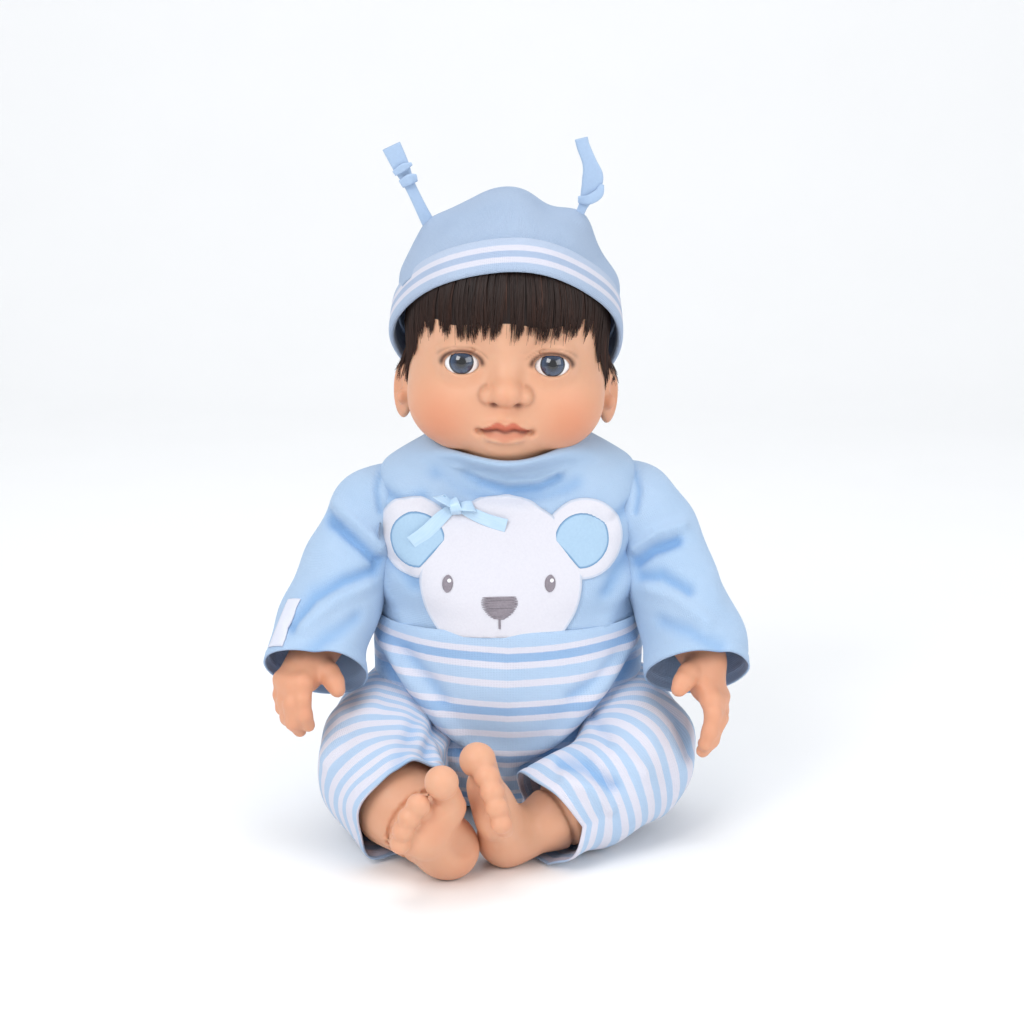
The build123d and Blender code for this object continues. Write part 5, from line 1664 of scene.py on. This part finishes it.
def make_back_closure(tree):
    """The overlapping strip that closes the romper down its back."""
    rows, columns = 60, 14
    grid = np.empty((rows, columns, 3))
    for i, z in enumerate(np.linspace(178, 97, rows)):
        for j, x in enumerate(np.linspace(-PLACKET_HALF, PLACKET_HALF, columns)):
            hit, normal, _, _ = tree.ray_cast(Vector((x, 140, z)), Vector((0, -1, 0)))
            normal = normal if normal.y > 0 else -normal
            edge = 1 - 0.5 * bell(PLACKET_HALF - abs(x), 0.8)
            grid[i, j] = hit + normal * (1.25 * edge + 0.15 * math.sin(z * 0.35))
    uv = np.stack(np.meshgrid(np.linspace(0, 2 * PLACKET_HALF, columns), np.linspace(0, 81, rows)), -1)
    piece = doubled("back_placket", grid, uv, False, 0.9, flip=True)
    piece.data.materials.append(JERSEY)
    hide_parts("back_closure")
    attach(piece, "torso")
    declare_cloth(piece, grid, False)


def finish_cad_nodes():
    """Finishes for the working parts inside, which keep their own meshes."""
    kinds = {
        "case_plastic": hard("case_abs", linear(214, 218, 222), linear(226, 229, 232), 0.5),
        "button_plastic": hard("button_abs", linear(206, 70, 66), linear(220, 84, 78), 0.42),
        "black_plastic": hard("black_abs", linear(28, 28, 30), linear(40, 40, 43), 0.5),
        "tie_plastic": hard("tie_nylon", linear(224, 224, 220), linear(236, 236, 232), 0.45),
        "pellets": hard("pellet_bag_cloth", linear(222, 218, 208), linear(234, 231, 224), 0.85, 0.0, 0.5, 0.3),
        "board": hard("board_green", linear(32, 92, 58), linear(44, 108, 70), 0.45, scale=0.4),
        "steel": hard("steel_plated", linear(176, 178, 182), linear(196, 198, 202), 0.3, metal=1.0),
        "battery_jacket": hard("cell_jacket", linear(62, 66, 74), linear(78, 82, 92), 0.35),
        "wire_jacket": hard("wire_pvc", linear(164, 40, 40), linear(184, 54, 50), 0.45),
        "jersey_skin": COTTON,
        "stuffing": soft_cloth("stuffing", linear(236, 234, 230), linear(246, 245, 243), 0.3, 0.3, 0.4),
        "jersey_blue": JERSEY,
        "vinyl_skin": VINYL,
        "label_cloth": LABEL,
    }
    slots = {entry["node"]: entry["material_slot"] for entry in frame["record"]["subparts"]}
    for name, thing in frame["nodes"].items():
        if not thing.hide_render:
            thing.data.materials.clear()
            thing.data.materials.append(kinds[slots[name]])


# ---------------------------------------------------------------- everything together
VINYL = vinyl()
HAIR = hair_material()
JERSEY = knit("jersey_plain", plain(BLUE))
JERSEY_HAT = knit("jersey_hat", plain(HAT_BLUE), melange=0.34, relief=0.6)
JERSEY_TIE = soft_cloth("jersey_tie", linear(158, 180, 208), linear(172, 194, 220), 0.9)
WIDE = [
    (0, BLUE_LIGHT), (6.0, WHITE), (8.8, BLUE_DEEP), (12.8, WHITE),
    (15.8, BLUE_LIGHT), (21.0, WHITE), (24.2, BLUE_LIGHT),
]
STRIPE_WIDE = knit("jersey_wide_stripe", striped(25.0, WIDE))
STRIPE_FINE = knit("jersey_fine_stripe", striped(6.4, [(0, WHITE), (3.1, BLUE_LIGHT), (6.3, WHITE)]))
# the last colour, from 22 on, is painted shade for the band's inner face
BAND = [
    (0, linear(176, 191, 214)), (5.0, WHITE), (8.0, linear(163, 181, 208)), (11.4, WHITE),
    (14.4, linear(168, 186, 211)), (22, linear(130, 155, 193)), (59, linear(130, 155, 193)),
]
STRIPE_HAT = knit("jersey_band_stripe", striped(60.0, BAND), relief=0.5)
COTTON = soft_cloth("body_cotton", linear(226, 186, 158), linear(236, 200, 174), 0.9)
VELOUR = velour("velour")
EAR_BLUE = ear_cloth("ear_lining")
SATIN = satin("satin_bow", linear(170, 202, 228), linear(196, 218, 236))
THREAD = soft_cloth("thread_grey", linear(128, 120, 128), linear(160, 152, 160), 0.9, 0.1, 0.3, 0.6)
# white for the painted eye glints
GLINT_WHITE = soft_cloth("painted_glint_white", linear(240, 240, 244), linear(250, 250, 252), 0.9)
# plain tape with no lettering
LABEL = soft_cloth("label_tape", linear(206, 208, 222), linear(218, 220, 230), 1.6, 0.05, 0.15)

HEAD_TREE = make_head()
make_eyes()
make_hair(HEAD_TREE)
make_hat([make_tie(tie, tie_parts) for tie, tie_parts in TIES.items()])
BODICE_PIECE, BODICE = make_romper()
BODICE_TREE = closed_tree(BODICE)
make_inner_body()
SLEEVES = {side_name: make_sleeve(side_name, sign) for side_name, sign in SIDES.items()}
for side_name, sign in SIDES.items():
    make_trouser_leg(side_name, sign)
    make_arm(side_name, sign)
    make_leg(side_name, sign)
make_bear(BODICE_TREE)
declare_cloth(BODICE_PIECE, BODICE, True, [make_bow(BODICE_TREE)])
make_label(SLEEVES["right"])
make_back_closure(BODICE_TREE)
finish_cad_nodes()


# ---------------------------------------------------------------- studio
CAMERA_TARGET, CAMERA_TILT = (2, 0, 143.75), 14
CAMERA_LENS, CAMERA_AWAY = 91.546875, 1.25


def make_studio():
    """A pale floor that sweeps up behind, a camera where the photograph was taken from, and soft lights."""
    width, depth, radius = 3000, 1400, 500
    profile = [(-2600, 0.0), (-1400, 0.0)] + [(y, 0.0) for y in np.linspace(-1000, depth - radius, 12)]
    for angle in np.linspace(0, math.pi / 2, 14)[1:]:
        profile.append((depth - radius + radius * math.sin(angle), radius - radius * math.cos(angle)))
    profile.append((depth, 2600.0))
    verts = [(x, y, z) for y, z in profile for x in np.linspace(-width, width, 9)]
    floor = make_mesh("studio_floor", verts, grid_faces(len(profile), 9))
    material, tree, shader = new_material("studio_paper")
    tone = noise_of(tree, coordinates(tree), 0.01, 2)
    tree.links.new(mix(tree, tone, (0.90, 0.90, 0.90), (0.92, 0.92, 0.92)), shader.inputs["Base Color"])
    shader.inputs["Roughness"].default_value = 0.9
    shader.inputs["Specular IOR Level"].default_value = 0.1
    floor.data.materials.append(material)

    target = Vector(CAMERA_TARGET) * MM
    tilt = math.radians(CAMERA_TILT)
    camera = bpy.data.cameras.new("camera")
    camera.sensor_width, camera.lens = 36, CAMERA_LENS
    camera.clip_start, camera.clip_end = 0.05, 20
    holder = bpy.data.objects.new("camera", camera)
    holder.location = target + Vector((0, -math.cos(tilt), math.sin(tilt))) * CAMERA_AWAY
    holder.rotation_euler = (math.pi / 2 - tilt, 0, 0)
    bpy.context.scene.collection.objects.link(holder)
    bpy.context.scene.camera = holder

    def area(name, place, aim, size, power):
        light = bpy.data.lights.new(name, "AREA")
        light.shape = "RECTANGLE"
        light.size, light.size_y = size
        light.energy = power
        lamp = bpy.data.objects.new(name, light)
        lamp.location = place
        lamp.rotation_mode = "QUATERNION"
        lamp.rotation_quaternion = (Vector(aim) - Vector(place)).to_track_quat("-Z", "Y")
        bpy.context.scene.collection.objects.link(lamp)

    area("key", (-0.75, -1.1, 1.15), (0, 0, 0.15), (0.8, 0.8), 12.5)
    area("fill", (1.1, -0.9, 0.7), (0, 0, 0.15), (0.9, 0.9), 7)
    area("top", (0.0, 0.15, 1.5), (0, 0, 0.1), (1.0, 1.0), 6.5)
    world = bpy.data.worlds.new("studio")
    world.use_nodes = True
    world.node_tree.nodes["Background"].inputs["Color"].default_value = (0.93, 0.96, 1.0, 1)
    world.node_tree.nodes["Background"].inputs["Strength"].default_value = 0.66
    bpy.context.scene.world = world
    bpy.context.scene.view_settings.view_transform = "Standard"


make_studio()
